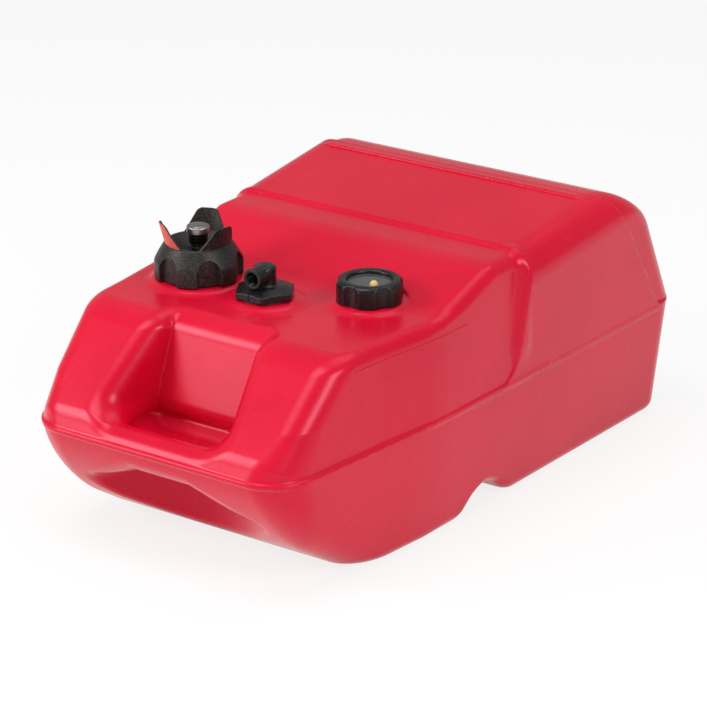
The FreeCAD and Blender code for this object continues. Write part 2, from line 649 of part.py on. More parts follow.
FILLER = ("-cap_left", "-cap_ahead")
OUTLET = ("0", "-outlet_ahead")
GAUGE = ("gauge_right", "-gauge_ahead")
SEATS = (("cap", "cap_radius", FILLER), ("ring", "ring_radius", GAUGE))


def seats(tag, grow):
    """The flat seats cut into the rising deck round the cap and the gauge's ring."""
    return [
        cylinder(f"{tag}_{name}_seat", f"{radius} + seat_gap + ({grow})", f"rise_height - deck_height + ({grow})",
                 *axis, f"deck_height + collar_height - ({grow})")
        for name, radius, axis in SEATS
    ]


# The shell: the form less its hollows, then less the room inside it.
outer = whole_form("outer", "0", "parting_height")
room = joined("Part::Cut", "room", (
    whole_form("inner", "-wall", "parting_height - wall - 1"),
    joined("Part::MultiFuse", "walled_hollows", [
        grown("walled_pocket", pocket),
        grown("walled_hollow", hollow),
        grown("walled_channel", channel),
    ] + seats("walled", "wall")),
))
carved = joined("Part::Cut", "carved", (
    outer, joined("Part::MultiFuse", "hollows", [pocket, hollow, channel] + seats("open", "0")),
))
collars, bores = [], []
for name, radius, bore, (x, y) in (
    ("filler", "filler_collar", "neck_bore", FILLER),
    ("outlet", "outlet_collar", "spigot_radius", OUTLET),
    ("gauge", "gauge_collar", "gauge_bore", GAUGE),
):
    collars.append(turned(f"{name}_collar_form", [
        ("0", "deck_height - wall", "0"),
        (f"{radius} + collar_slope", "deck_height - wall", "0"),
        (f"{radius} + collar_slope", "deck_height", "0"),
        (radius, "deck_height + collar_height", "0"),
        ("0", "deck_height + collar_height", "0"),
    ], x, y))
    bores.append(cylinder(f"{name}_bore", bore, "neck_height + 3 * wall", x, y, "deck_height - 2 * wall"))
collars.append(cylinder("filler_neck", "neck_radius", "neck_height + wall/2", *FILLER, "deck_height - wall/2"))
shell = joined("Part::Cut", "tank_shell", (
    joined("Part::MultiFuse", "shell_and_collars", [joined("Part::Cut", "bare_shell", (carved, room))] + collars),
    joined("Part::MultiFuse", "bores", bores),
))
node("tank_shell", shell)

# The filler cap: a gasket on the neck, a threaded sleeve round it, and the moulded cap with a
# sunken top and three fins.
x, y = FILLER
node("cap_gasket", turned("cap_gasket", [
    ("neck_bore + 1", "deck_height + neck_height", "0"),
    ("neck_radius", "deck_height + neck_height", "0"),
    ("neck_radius", "deck_height + neck_height + cap_gasket", "0"),
    ("neck_bore + 1", "deck_height + neck_height + cap_gasket", "0"),
], x, y))
sleeve_inner = "(neck_radius + thread_clearance)"
sleeve_outer = "(neck_radius + thread_clearance + sleeve_wall)"
skirt_foot = "(deck_height + collar_height + cap_lift_gap)"
plate = "(deck_height + neck_height + cap_gasket)"
node("cap_sleeve", turned("cap_sleeve", [
    (sleeve_inner, f"{skirt_foot} + 1", "0"),
    (sleeve_outer, f"{skirt_foot} + 1", "0"),
    (sleeve_outer, plate, "0"),
    (sleeve_inner, plate, "0"),
], x, y))
hole = "(stem_radius + sliding_clearance)"
cap_body = turned("cap_body", [
    (hole, plate, "0"),
    (sleeve_outer, plate, "0"),
    (sleeve_outer, skirt_foot, "0"),
    ("cap_radius", skirt_foot, "0"),
    ("cap_radius - 0.6", "deck_height + cap_shoulder", "3"),
    ("crater_radius + 2.5", "deck_height + crater_height - 3", "3"),
    ("crater_radius", "deck_height + crater_height", "1", FLAT),
    ("crater_radius - 4", "deck_height + crater_height - 1", "0"),
    ("crater_floor", f"{plate} + cap_plate", "2", FLAT),
    (hole, f"{plate} + cap_plate", "0"),
], x, y)
recesses = []
for k in range(int(size("recess_count"))):
    recess = prism(f"cap_recess_{k}", [
        ("-recess_width/2", f"{skirt_foot} - 5", "0"),
        ("recess_width/2", f"{skirt_foot} - 5", "0"),
        ("recess_width/2", "deck_height + recess_top", "recess_width/2 - 1"),
        ("-recess_width/2", "deck_height + recess_top", "recess_width/2 - 1"),
    ], "10", x, y, "0", Rotation())
    turn = Rotation(Vector(0, 0, 1), 360 * (k + 0.5) / size("recess_count"))
    recess.Placement = Placement(recess.Placement.Base, turn * Rotation(Vector(1, 1, 1), 120))
    radial = turn.multVec(Vector(1, 0, 0))
    bind(recess, Placement__Base__x=f"{x} + (cap_radius - recess_depth) * {radial.x}",
         Placement__Base__y=f"{y} + (cap_radius - recess_depth) * {radial.y}")
    recesses.append(recess)


def fin(name, index, inner, outer, margin):
    """A fin of the cap, from its inner to its outer face: a wall that curves round the cap, leans
    out and narrows to its tip."""
    lean = "((fin_reach + fin_thickness/2 - crater_radius) / (fin_height - crater_height))"
    foot = "(deck_height + crater_height - 3)"
    rise = f"(fin_height + deck_height - {foot})"
    curved_wall = turned(f"{name}_wall", [
        (f"crater_radius - 2 + {inner} + {lean} * {margin}", f"{foot} + {margin}", "0"),
        (f"crater_radius - 2 + {outer} + {lean} * {margin}", f"{foot} + {margin}", "0"),
        (f"crater_radius - 2 + {outer} + {lean} * ({rise} - {margin})", f"{foot} + {rise} - {margin}", "0"),
        (f"crater_radius - 2 + {inner} + {lean} * ({rise} - {margin})", f"{foot} + {rise} - {margin}", "0"),
    ], "0", "0")
    face_view = prism(f"{name}_face_view", [
        (f"-fin_foot + {margin}", f"{foot} + {margin}", "0"),
        (f"fin_foot - {margin}", f"{foot} + {margin}", "0"),
        (f"fin_tip - {margin}/2", f"{foot} + {rise} - {margin}", "3"),
        (f"-fin_tip + {margin}/2", f"{foot} + {rise} - {margin}", "3"),
    ], "2 * cap_radius", "0", "0", "0", Rotation(Vector(1, 1, 1), 120))
    blade = joined("Part::MultiCommon", name, [curved_wall, face_view])
    return placed(blade, x, y, "0", size("fin_angle") + 120 * index)


fins = [fin(f"fin_{k}", k, "0", "fin_thickness", "0") for k in range(3)]
node("filler_cap", joined("Part::MultiFuse", "filler_cap", [
    joined("Part::Cut", "cap_with_recesses", (cap_body, joined("Part::MultiFuse", "cap_recesses", recesses))),
] + fins))
node("fin_marker", fin("fin_marker", 1, "fin_thickness", "fin_thickness + marker_thickness", "(2 * marker_margin)"))

# The vent: a steel button on a stem through the cap, held up by a spring, with a seal below.
floor = f"({plate} + cap_plate)"
collar_top = "(deck_height + button_top - button_thickness)"
collar_foot = f"({collar_top} - 3.5 * ridge_pitch)"
node("vent_button", turned("vent_button", [
    ("0", collar_top, "0"),
    ("button_radius", collar_top, "0.8", FLAT),
    ("button_radius", "deck_height + button_top", "1.2", FLAT),
    ("0", "deck_height + button_top + 0.6", "0"),
], x, y))
ridges = [("stem_radius", collar_foot, "0")]
for k in range(3):
    level = f"{collar_foot} + {k} * ridge_pitch"
    ridges.append(("ridge_radius", level, "0"))
    ridges.append(("ridge_radius", f"{level} + ridge_pitch/2", "0"))
    ridges.append(("ridge_radius - 2", f"{level} + ridge_pitch/2", "0"))
    ridges.append(("ridge_radius - 2", f"{level} + ridge_pitch", "0"))
ridges[-1] = ("ridge_radius - 2", collar_top, "0")
ridges.append(("stem_radius", collar_top, "0"))
node("vent_collar", turned("vent_collar", ridges, x, y))
node("vent_stem", cylinder("vent_stem", "stem_radius", f"{collar_top} - {plate} + seal_thickness",
                           x, y, f"{plate} - seal_thickness"))
node("vent_spring", turned("vent_spring", [
    ("spring_radius - 1.4", floor, "0"),
    ("spring_radius", floor, "0"),
    ("spring_radius", collar_foot, "0"),
    ("spring_radius - 1.4", collar_foot, "0"),
], x, y))
node("vent_seal", turned("vent_seal", [
    ("stem_radius", f"{plate} - seal_thickness", "0"),
    ("seal_radius - 1", f"{plate} - seal_thickness", "0"),
    ("seal_radius", f"{plate} - 1", "0"),
    ("seal_radius", plate, "0"),
    ("stem_radius", plate, "0"),
], x, y))

# The outlet: a hexagon with an elbow, screwed into the deck, and the pickup tube below it.
x, y = OUTLET
seat = "(deck_height + collar_height)"
hex_foot = f"({seat} + outlet_gasket)"
hex_top = f"({hex_foot} + hex_height)"
spigot_foot = "(deck_height - spigot_depth)"
node("outlet_gasket", turned("outlet_gasket", [
    ("spigot_radius", seat, "0"),
    ("outlet_gasket_radius", seat, "0"),
    ("outlet_gasket_radius", hex_foot, "0"),
    ("spigot_radius", hex_foot, "0"),
], x, y))
hexagon = doc.addObject("Part::Prism", "hexagon")
hexagon.Polygon = 6
bind(hexagon, Circumradius="hex_flats / sqrt(3)", Height="hex_height")
placed(hexagon, x, y, hex_foot)
chamfered = joined("Part::MultiCommon", "chamfered_hexagon", [hexagon, turned("hexagon_chamfer", [
    ("0", f"{hex_foot} - 1", "0"),
    ("hex_flats * 0.6", f"{hex_foot} - 1", "0"),
    ("hex_flats * 0.6", f"{hex_top} - hex_flats * 0.06", "0"),
    ("elbow_radius + 5", hex_top, "0"),
    ("0", hex_top, "0"),
], x, y)])
port_axis = f"({hex_top} + port_height)"
elbow = joined("Part::MultiFuse", "elbow", [
    chamfered,
    turned("elbow_upright", [
        ("0", spigot_foot, "0"),
        ("spigot_radius", spigot_foot, "0"),
        ("spigot_radius", f"{hex_foot} + 1", "0"),
        ("elbow_radius + 4", f"{hex_foot} + 1", "0"),
        ("elbow_radius + 3", f"{hex_top} + 1.5", "0"),
        ("elbow_radius", f"{hex_top} + 4", "2", FLAT),
        ("elbow_radius", f"{hex_top} + elbow_height", "4"),
        ("0", f"{hex_top} + elbow_height", "0"),
    ], x, y),
    cylinder("side_port", "port_radius", "port_reach", x, y, port_axis, 90),
])
passages = joined("Part::MultiFuse", "passages", [
    cylinder("port_thread", "port_bore", "port_depth + 5", x, f"{y} - port_reach + port_depth", port_axis, 90),
    cylinder("port_passage", "passage_radius - 1", "port_reach - port_depth + 1", x, y, port_axis, 90),
    cylinder("down_passage", "passage_radius", f"{port_axis} - {spigot_foot} + 5", x, y, f"{spigot_foot} - 5"),
])
node("outlet_fitting", joined("Part::Cut", "outlet_fitting", (elbow, passages)))
tube_foot = "(wall + filter_gap + filter_height - filter_grip)"
node("pickup_tube", turned("pickup_tube", [
    ("passage_radius - tube_wall", tube_foot, "0"),
    ("passage_radius", tube_foot, "0"),
    ("passage_radius", f"{spigot_foot} + tube_seat", "0"),
    ("passage_radius - tube_wall", f"{spigot_foot} + tube_seat", "0"),
], x, y))
node("pickup_filter", turned("pickup_filter", [
    ("0", "wall + filter_gap", "0"),
    ("filter_radius", "wall + filter_gap", "1.5", FLAT),
    ("filter_radius", "wall + filter_gap + filter_height - 3", "0"),
    ("passage_radius + 1.5", "wall + filter_gap + filter_height", "0"),
    ("passage_radius", "wall + filter_gap + filter_height", "0"),
    ("passage_radius", tube_foot, "0"),
    ("filter_radius - 2", tube_foot, "0"),
    ("filter_radius - 2", "wall + filter_gap + 2", "0"),
    ("0", "wall + filter_gap + 2", "0"),
], x, y))

# The fuel gauge: a housing let into the deck under a clamping ring, a dial and pointer, and a
# frame below it on which the float slides and turns the pointer's twisted strip.
x, y = GAUGE
flange_foot = f"({seat} + gauge_gasket)"
dial_foot = f"({flange_foot} + flange_thickness)"
cup_foot = "(deck_height - cup_depth)"
cup_inner = "(gauge_bore - 0.2 - cup_wall)"
pivot = "(shaft_radius + sliding_clearance)"
lens_foot = "(deck_height + lens_height)"
node("gauge_gasket", turned("gauge_gasket", [
    ("gauge_bore + 0.5", seat, "0"),
    ("flange_radius", seat, "0"),
    ("flange_radius", flange_foot, "0"),
    ("gauge_bore + 0.5", flange_foot, "0"),
], x, y))
node("gauge_housing", turned("gauge_housing", [
    (pivot, cup_foot, "0"),
    ("gauge_bore - 0.2", cup_foot, "1", FLAT),
    ("gauge_bore - 0.2", flange_foot, "0"),
    ("flange_radius", flange_foot, "0"),
    ("flange_radius", dial_foot, "0"),
    (cup_inner, dial_foot, "0"),
    (cup_inner, f"{cup_foot} + cup_wall", "0"),
    (pivot, f"{cup_foot} + cup_wall", "0"),
], x, y))
ring_body = turned("ring_body", [
    ("flange_radius + ring_clearance", seat, "0"),
    ("ring_radius", seat, "0"),
    ("ring_radius", "deck_height + ring_height", "2", FLAT),
    ("ring_opening", "deck_height + ring_height", "1.5", FLAT),
    ("ring_opening", f"{lens_foot} + lens_thickness", "0"),
    ("lens_radius", f"{lens_foot} + lens_thickness", "0"),
    ("lens_radius", dial_foot, "0"),
    ("flange_radius + ring_clearance", dial_foot, "0"),
], x, y)
scallops = []
for k in range(int(size("scallop_count"))):
    turn = math.radians(360 * (k + 0.5) / size("scallop_count"))
    reach = "(ring_radius + scallop_radius - scallop_depth)"
    scallops.append(cylinder(f"ring_scallop_{k}", "scallop_radius", "ring_height + 2",
                             f"{x} + {reach} * {math.cos(turn)}", f"{y} + {reach} * {math.sin(turn)}",
                             f"{seat} - 1"))
node("gauge_ring", joined("Part::Cut", "gauge_ring", (
    ring_body, joined("Part::MultiFuse", "ring_scallops", scallops))))
node("gauge_lens", cylinder("gauge_lens", "lens_radius", "lens_thickness", x, y, lens_foot))
node("gauge_dial", turned("gauge_dial", [
    ("hub_radius", dial_foot, "0"),
    ("lens_radius", dial_foot, "0"),
    ("lens_radius", lens_foot, "0"),
    ("lens_radius - dial_wall", lens_foot, "0"),
    ("lens_radius - dial_wall", f"{dial_foot} + dial_thickness", "0"),
    ("hub_radius", f"{dial_foot} + dial_thickness", "0"),
], x, y))
pointer_foot = "(deck_height + pointer_height)"
blade = prism("pointer_blade", [
    ("0", "-pointer_half", "0"),
    ("pointer_reach", "-pointer_half/3", "0.3"),
    ("pointer_reach", "pointer_half/3", "0.3"),
    ("0", "pointer_half", "0"),
], "pointer_thickness", x, y, pointer_foot, Rotation(Vector(0, 0, 1), size("pointer_angle")))
hub = cylinder("pointer_hub", "hub_radius", "pointer_thickness + 0.6", x, y, pointer_foot)
bead = doc.addObject("Part::Sphere", "pointer_bead_form")
placed(bind(bead, Radius="pointer_bead"), f"{x} + pointer_reach * cos(pointer_angle * 1deg)",
       f"{y} + pointer_reach * sin(pointer_angle * 1deg)", f"{pointer_foot} + 0.75 * pointer_bead")
shaft = cylinder("pointer_shaft", "shaft_radius", f"{pointer_foot} - {cup_foot} + 1", x, y, f"{cup_foot} - 1")
node("gauge_pointer", joined("Part::MultiFuse", "gauge_pointer", [blade, hub, bead, shaft]))

# The strip hangs from the pointer's shaft and is drawn as a twisted loft.  The float's slotted
# plate grips it, so that the strip turns as the float rises.
strip_top = f"({cup_foot} - 1)"
strip_foot = "(foot_height + bridge_thickness + 0.5)"
STRIP_STEPS = 27
levels = []
for k in range(STRIP_STEPS):
    height = f"({strip_foot} + ({strip_top} - {strip_foot}) * {k}/{STRIP_STEPS - 1})"
    level = doc.addObject("Sketcher::SketchObject", f"strip_level_{k}")
    rounded_outline(level, [
        ("-strip_half", "-strip_thickness/2", "0"),
        ("strip_half", "-strip_thickness/2", "0"),
        ("strip_half", "strip_thickness/2", "0"),
        ("-strip_half", "strip_thickness/2", "0"),
    ])
    placed(level, x, y, height)
    bind(level, Placement__Rotation__Angle=f"-strip_twist * {height}")
    levels.append(level)
strip = doc.addObject("Part::Loft", "twisted_rod")
strip.Sections = levels
strip.Solid = True
strip.Ruled = True
node("twisted_rod", strip)

rod_foot = "(foot_height + bridge_thickness)"
rods, rod_holes = [], []
for side in (-1, 1):
    place = f"{x} + {side} * rod_spacing/2"
    rods.append(cylinder(f"guide_rod_{side + 1}", "rod_radius", f"{cup_foot} - bridge_thickness/2 - {rod_foot}",
                         place, y, rod_foot))
    rod_holes.append(cylinder(f"rod_hole_{side + 1}", "rod_radius + sliding_clearance", "float_height + 2",
                              place, y, f"{rod_foot} - 1"))
bar_half = "(rod_spacing/2 + rod_radius + 2)"
bridge = box("bridge_block", f"2 * {bar_half}", "2 * bridge_half", "bridge_thickness",
             f"{x} - {bar_half}", f"{y} - bridge_half", f"{cup_foot} - bridge_thickness")
bridge_hole = cylinder("bridge_hole", "strip_half + 1", "3 * bridge_thickness", x, y,
                       f"{cup_foot} - 2 * bridge_thickness")
node("gauge_frame", joined("Part::Cut", "gauge_frame", (
    joined("Part::MultiFuse", "bridge_and_rods", [bridge] + rods), bridge_hole)))
node("frame_foot", box("frame_foot", f"2 * {bar_half}", "2 * bridge_half", "bridge_thickness",
                       f"{x} - {bar_half}", f"{y} - bridge_half", "foot_height"))
float_foot = f"({rod_foot} + 1)"
slot_at = f"({float_foot} + float_height - slot_plate)"
float_body = turned("float_body", [
    ("float_bore", float_foot, "0"),
    ("float_radius", float_foot, "2", FLAT),
    ("float_radius", f"{float_foot} + float_height", "2", FLAT),
    ("0", f"{float_foot} + float_height", "0"),
    ("0", slot_at, "0"),
    ("float_bore", slot_at, "0"),
], x, y)
slot = doc.addObject("Part::Box", "float_slot")
bind(slot, Length="2 * (strip_half + strip_gap)", Width="strip_thickness + 2 * strip_gap", Height="3 * slot_plate")
turn = f"(-strip_twist * ({slot_at} + slot_plate/2))"
corner = "(strip_half + strip_gap)"
side = "(strip_thickness/2 + strip_gap)"
bind(slot, Placement__Rotation__Angle=turn, Placement__Base__z=f"{slot_at} - slot_plate",
     Placement__Base__x=f"{x} - {corner} * cos({turn} * 1deg) + {side} * sin({turn} * 1deg)",
     Placement__Base__y=f"{y} - {corner} * sin({turn} * 1deg) - {side} * cos({turn} * 1deg)")
node("gauge_float", joined("Part::Cut", "gauge_float", (
    float_body, joined("Part::MultiFuse", "float_cuts", rod_holes + [slot]))))

doc.recompute()
faults = [item.Name for item in doc.Objects if {"Invalid", "Error"} & set(item.State)]
faults += [name for name, item in nodes.items() if item.Shape.isNull() or not item.Shape.isValid()]
if faults:
    raise SystemExit("failed: " + ", ".join(faults))
os.makedirs("parts", exist_ok=True)
for name, item in nodes.items():
    item.Shape.exportStep(f"parts/{name}.step")
print(f"{len(nodes)} pieces, room for {room.Shape.Volume / 1e6:.1f} litres")
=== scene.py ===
"""Skins, finishes and small parts of a portable outboard fuel tank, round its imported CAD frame."""

import math

import bpy
import numpy as np
from bpy.props import FloatProperty, FloatVectorProperty, IntProperty, PointerProperty
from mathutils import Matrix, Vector


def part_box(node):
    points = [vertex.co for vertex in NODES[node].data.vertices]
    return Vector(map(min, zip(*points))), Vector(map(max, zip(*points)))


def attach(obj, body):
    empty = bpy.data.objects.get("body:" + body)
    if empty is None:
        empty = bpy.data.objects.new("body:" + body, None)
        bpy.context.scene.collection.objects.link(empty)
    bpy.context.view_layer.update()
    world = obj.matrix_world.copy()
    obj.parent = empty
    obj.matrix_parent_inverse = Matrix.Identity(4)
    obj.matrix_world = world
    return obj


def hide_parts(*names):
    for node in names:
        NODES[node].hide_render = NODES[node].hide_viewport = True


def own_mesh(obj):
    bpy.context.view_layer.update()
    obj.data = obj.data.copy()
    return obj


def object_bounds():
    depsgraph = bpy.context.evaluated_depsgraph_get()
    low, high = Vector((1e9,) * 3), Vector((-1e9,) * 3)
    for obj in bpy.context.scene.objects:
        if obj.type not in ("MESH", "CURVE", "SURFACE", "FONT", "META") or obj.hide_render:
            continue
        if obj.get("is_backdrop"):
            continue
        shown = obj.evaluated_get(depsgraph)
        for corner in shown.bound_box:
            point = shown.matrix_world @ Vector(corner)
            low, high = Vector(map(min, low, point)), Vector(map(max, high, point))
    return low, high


bl_info = {
    "name": "Outboard fuel tank",
    "version": (1, 0, 0),
    "blender": (4, 5, 0),
    "location": "3D View > Sidebar > Fuel tank",
    "description": "Moulded skins, finishes and small parts of a portable outboard fuel tank",
    "category": "Add Mesh",
}

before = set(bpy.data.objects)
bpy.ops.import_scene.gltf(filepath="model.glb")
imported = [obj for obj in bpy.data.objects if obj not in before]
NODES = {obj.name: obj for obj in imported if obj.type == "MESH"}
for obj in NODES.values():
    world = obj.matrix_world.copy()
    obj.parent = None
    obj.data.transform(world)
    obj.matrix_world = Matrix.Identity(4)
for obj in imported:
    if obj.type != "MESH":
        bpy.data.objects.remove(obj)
CAD_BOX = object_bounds()


# ---------------------------------------------------------------- sizes and colours


def length(name, description, default):
    return FloatProperty(name=name, description=description, default=default, unit="LENGTH", precision=5)


def colour(name, description, default):
    return FloatVectorProperty(name=name, description=description, default=default, subtype="COLOR",
                               size=4, min=0, max=1)


class TankSizes(bpy.types.PropertyGroup):
    """Sizes of the moulded tank."""

    pitch: length("Mesh pitch", "Spacing of the skin's mesh", 0.0017)
    half_width: length("Half width", "Half width at the parting line, at the middle of the length", 0.1525)
    parting: length("Parting line", "Height of the parting line", 0.109)
    deck: length("Deck", "Height of the deck", 0.195)
    rise: length("Rise", "Height to which the deck rises at the ridge", 0.220)
    ridge: length("Ridge", "Height of the ridge at the front of the block", 0.2228)
    crease: length("Crease", "Height of the block at the crease", 0.2368)
    collar: length("Collar", "Height of the low collar round each fitting", 0.004)


class CapSizes(bpy.types.PropertyGroup):
    """Sizes of the filler cap and its vent."""

    pitch: length("Mesh pitch", "Spacing of the cap's mesh", 0.0007)
    radius: length("Skirt", "Radius of the cap's skirt", 0.038)
    rim: length("Rim", "Radius of the raised rim", 0.027)
    shoulder: length("Shoulder", "Height of the skirt's shoulder above the deck", 0.020)
    height: length("Rim height", "Height of the raised rim above the deck", 0.035)
    fin_height: length("Fin height", "Height of a fin's tip above the deck", 0.054)
    recesses: IntProperty(name="Recesses", description="Number of arched recesses round the skirt",
                          default=6)
    spring_turns: FloatProperty(name="Spring turns", description="Number of turns of the vent spring",
                                default=3.5)
    spring_wire: length("Spring wire", "Thickness of the vent spring's wire", 0.0012)


class FittingSizes(bpy.types.PropertyGroup):
    """Sizes of the outlet and the gauge."""

    pitch: length("Mesh pitch", "Spacing of the fittings' meshes", 0.0006)
    hex_flats: length("Hexagon", "Width of the outlet's hexagon over its flats", 0.0464)
    port_thread: length("Port thread", "Pitch of the thread in the side port", 0.0014)
    neck_thread: length("Neck thread", "Pitch of the thread on the filler neck", 0.0035)
    scallops: IntProperty(name="Scallops", description="Number of scallops round the gauge's ring",
                          default=6)


class FinishColours(bpy.types.PropertyGroup):
    """Colours of the finishes."""

    tank: colour("Tank", "Moulded tank", (0.64, 0.002, 0.026, 1))
    cap: colour("Cap", "Moulded cap", (0.010, 0.006, 0.006, 1))
    fitting: colour("Fittings", "Outlet and gauge ring", (0.005, 0.006, 0.007, 1))
    marker: colour("Marker", "Marker on one fin", (0.62, 0.035, 0.012, 1))
    pointer: colour("Pointer", "Gauge pointer", (0.95, 0.60, 0.02, 1))
    floor: colour("Floor", "Floor and backdrop", (0.93, 0.93, 0.93, 1))


GROUPS = {"tank": TankSizes, "cap": CapSizes, "fittings": FittingSizes, "colours": FinishColours}


def mm(value):
    return value * 1000


# ---------------------------------------------------------------- forms as distance fields
# A form is a function of x, y and z in millimetres that is negative inside, about the distance
# to the surface.  Forms are joined and cut here with rounded edges, then meshed by skin().

BLOCK = 4  # cells along each side of a block of the grid
BLOCK_REACH = 1.4 * (1 + 0.87 * (BLOCK - 1))  # steps from a block's middle to past its corners


def both(a, b, r=0.0):
    """Where both forms are; the edge between them is rounded over the reach r."""
    if isinstance(r, float) and r == 0:
        return np.maximum(a, b)
    return np.minimum(np.maximum(a, b), -r) + np.hypot(np.maximum(a + r, 0), np.maximum(b + r, 0))


def either(a, b, r=0.0):
    """Where one form or the other is; the corner between them is filled over the reach r."""
    return -both(-a, -b, r)


def without(a, b, r=0.0):
    """The first form with the second cut out of it."""
    return both(a, -b, r)


def plane(u, v, first, last):
    """The form to the left of the line from one point in (u, v) to another."""
    du, dv = last[0] - first[0], last[1] - first[1]
    return ((u - first[0]) * dv - (v - first[1]) * du) / math.hypot(du, dv)


def disc(x, y, radius, axis):
    return np.hypot(x - axis[0], y - axis[1]) - radius


def slab(z, low, high):
    return np.maximum(low - z, z - high)


def skin(name, form, low, high, pitch, origin=(0, 0, 0)):
    """A closed mesh on the surface of a form.  The box and the pitch are in metres, and the form
    is asked in millimetres from the origin."""
    origin, step, n = np.array(origin, float), mm(pitch), BLOCK
    start = mm(np.array(low, float) - origin)
    blocks = np.ceil(mm(np.array(high, float) - np.array(low, float)) / (n * step)).astype(int) + 1

    def at(points):
        return form(*points.T)

    # Rough values in blocks, and exact ones only in the blocks that the surface passes near.
    corner = np.indices(blocks).reshape(3, -1).T
    rough = at(start + (corner * n + (n - 1) / 2) * step)
    near = corner[np.abs(rough) < BLOCK_REACH * step]
    grid = rough.reshape(blocks).repeat(n, 0).repeat(n, 1).repeat(n, 2)
    inner = np.indices((n, n, n)).reshape(3, -1).T
    fine = (near[:, None, :] * n + inner[None]).reshape(-1, 3)
    grid[tuple(fine.T)] = at(start + fine * step)

    # One point in each cell that the surface crosses, at the mean of its crossings.
    inside = grid < 0
    a, b, c = (size - 1 for size in grid.shape)
    count = sum(inside[i:i + a, j:j + b, k:k + c].astype(np.int8)
                for i in (0, 1) for j in (0, 1) for k in (0, 1))
    crossed = (count > 0) & (count < 8)
    cells = np.argwhere(crossed)
    number = np.full(crossed.shape, -1)
    number[crossed] = np.arange(len(cells))
    total, hits = np.zeros((len(cells), 3)), np.zeros(len(cells))
    for axis in range(3):
        u, v = (axis + 1) % 3, (axis + 2) % 3
        for du, dv in ((0, 0), (0, 1), (1, 0), (1, 1)):
            first = cells.copy()
            first[:, u] += du
            first[:, v] += dv
            last = first.copy()
            last[:, axis] += 1
            p, q = grid[tuple(first.T)], grid[tuple(last.T)]
            cross = (p < 0) != (q < 0)
            spot = first[cross].astype(float)
            spot[:, axis] += p[cross] / (p[cross] - q[cross])
            total[cross] += spot
            hits[cross] += 1
    points = start + total / hits[:, None] * step

    # Each point is then pulled on to the surface along the form's slope.
    def slope(points):
        h = 0.02 * step
        return np.stack([at(points + h * e) - at(points - h * e) for e in np.eye(3)], 1) / (2 * h)

    for _ in range(3):
        g = slope(points)
        move = np.clip(at(points), -step / 2, step / 2) / np.maximum((g * g).sum(1), 0.1)
        points = points - move[:, None] * g

    quads = []
    for axis in range(3):
        u, v = (axis + 1) % 3, (axis + 2) % 3
        line = np.moveaxis(inside, axis, 0)
        edge = np.argwhere(np.moveaxis(line[:-1] != line[1:], 0, axis))
        edge = edge[(edge[:, u] > 0) & (edge[:, v] > 0)
                    & (edge[:, u] < number.shape[u]) & (edge[:, v] < number.shape[v])]
        ring = []
        for du, dv in ((1, 1), (0, 1), (0, 0), (1, 0)):
            cell = edge.copy()
            cell[:, u] -= du
            cell[:, v] -= dv
            ring.append(number[tuple(cell.T)])
        ring = np.stack(ring, 1)
        back = ~inside[tuple(edge.T)]
        ring[back] = ring[back][:, ::-1]
        quads.append(ring)
    mesh = bpy.data.meshes.new(name)
    mesh.from_pydata((points / 1000 + origin).tolist(), [], np.concatenate(quads).tolist())
    mesh.polygons.foreach_set("use_smooth", np.ones(len(mesh.polygons), bool))
    g = slope(points)
    mesh.normals_split_custom_set_from_vertices((g / np.linalg.norm(g, axis=1)[:, None]).tolist())
    return place(name, mesh)


def place(name, data):
    item = bpy.data.objects.new(name, data)
    bpy.context.scene.collection.objects.link(item)
    return item


def smooth(name, verts, faces, angle):
    """A mesh that is shaded smooth but for edges sharper than an angle in degrees."""
    mesh = bpy.data.meshes.new(name)
    mesh.from_pydata(verts, [], faces)
    mesh.polygons.foreach_set("use_smooth", [True] * len(mesh.polygons))
    mesh.set_sharp_from_angle(angle=math.radians(angle))
    return place(name, mesh)


def lathe(name, outline, axis, segments=128, arc=7):
    """A turned mesh: an outline of (radius, height, corner radius) in metres about an upright axis.
    The outline runs anticlockwise and is closed unless it starts and ends on the axis."""
    on_axis = 1e-7
    points = []
    for k, (r, z, cut) in enumerate(outline):
        here = Vector((r, z))
        if not cut:
            points.append(here)
            continue
        before = Vector(outline[k - 1][:2]) - here
        after = Vector(outline[(k + 1) % len(outline)][:2]) - here
        half = before.angle(after) / 2
        first = here + before.normalized() * cut / math.tan(half)
        last = here + after.normalized() * cut / math.tan(half)
        for t in np.linspace(0, 1, arc):
            points.append(first * (1 - t) ** 2 + here * 2 * t * (1 - t) + last * t ** 2)
    verts, faces, rings = [], [], []
    for p in points:
        if p.x < on_axis:
            rings.append([len(verts)] * segments)
            verts.append((axis[0], axis[1], p.y))
            continue
        rings.append(list(range(len(verts), len(verts) + segments)))
        for k in range(segments):
            t = 2 * math.pi * k / segments
            verts.append((axis[0] + p.x * math.cos(t), axis[1] + p.x * math.sin(t), p.y))
    closed = max(points[0].x, points[-1].x) >= on_axis
    for k in range(len(rings) if closed else len(rings) - 1):
        low, high = rings[k], rings[(k + 1) % len(rings)]
        for i in range(segments):
            j = (i + 1) % segments
            face = list(dict.fromkeys((low[i], low[j], high[j], high[i])))
            if len(face) > 2:
                faces.append(face)
    return smooth(name, verts, faces, 35)


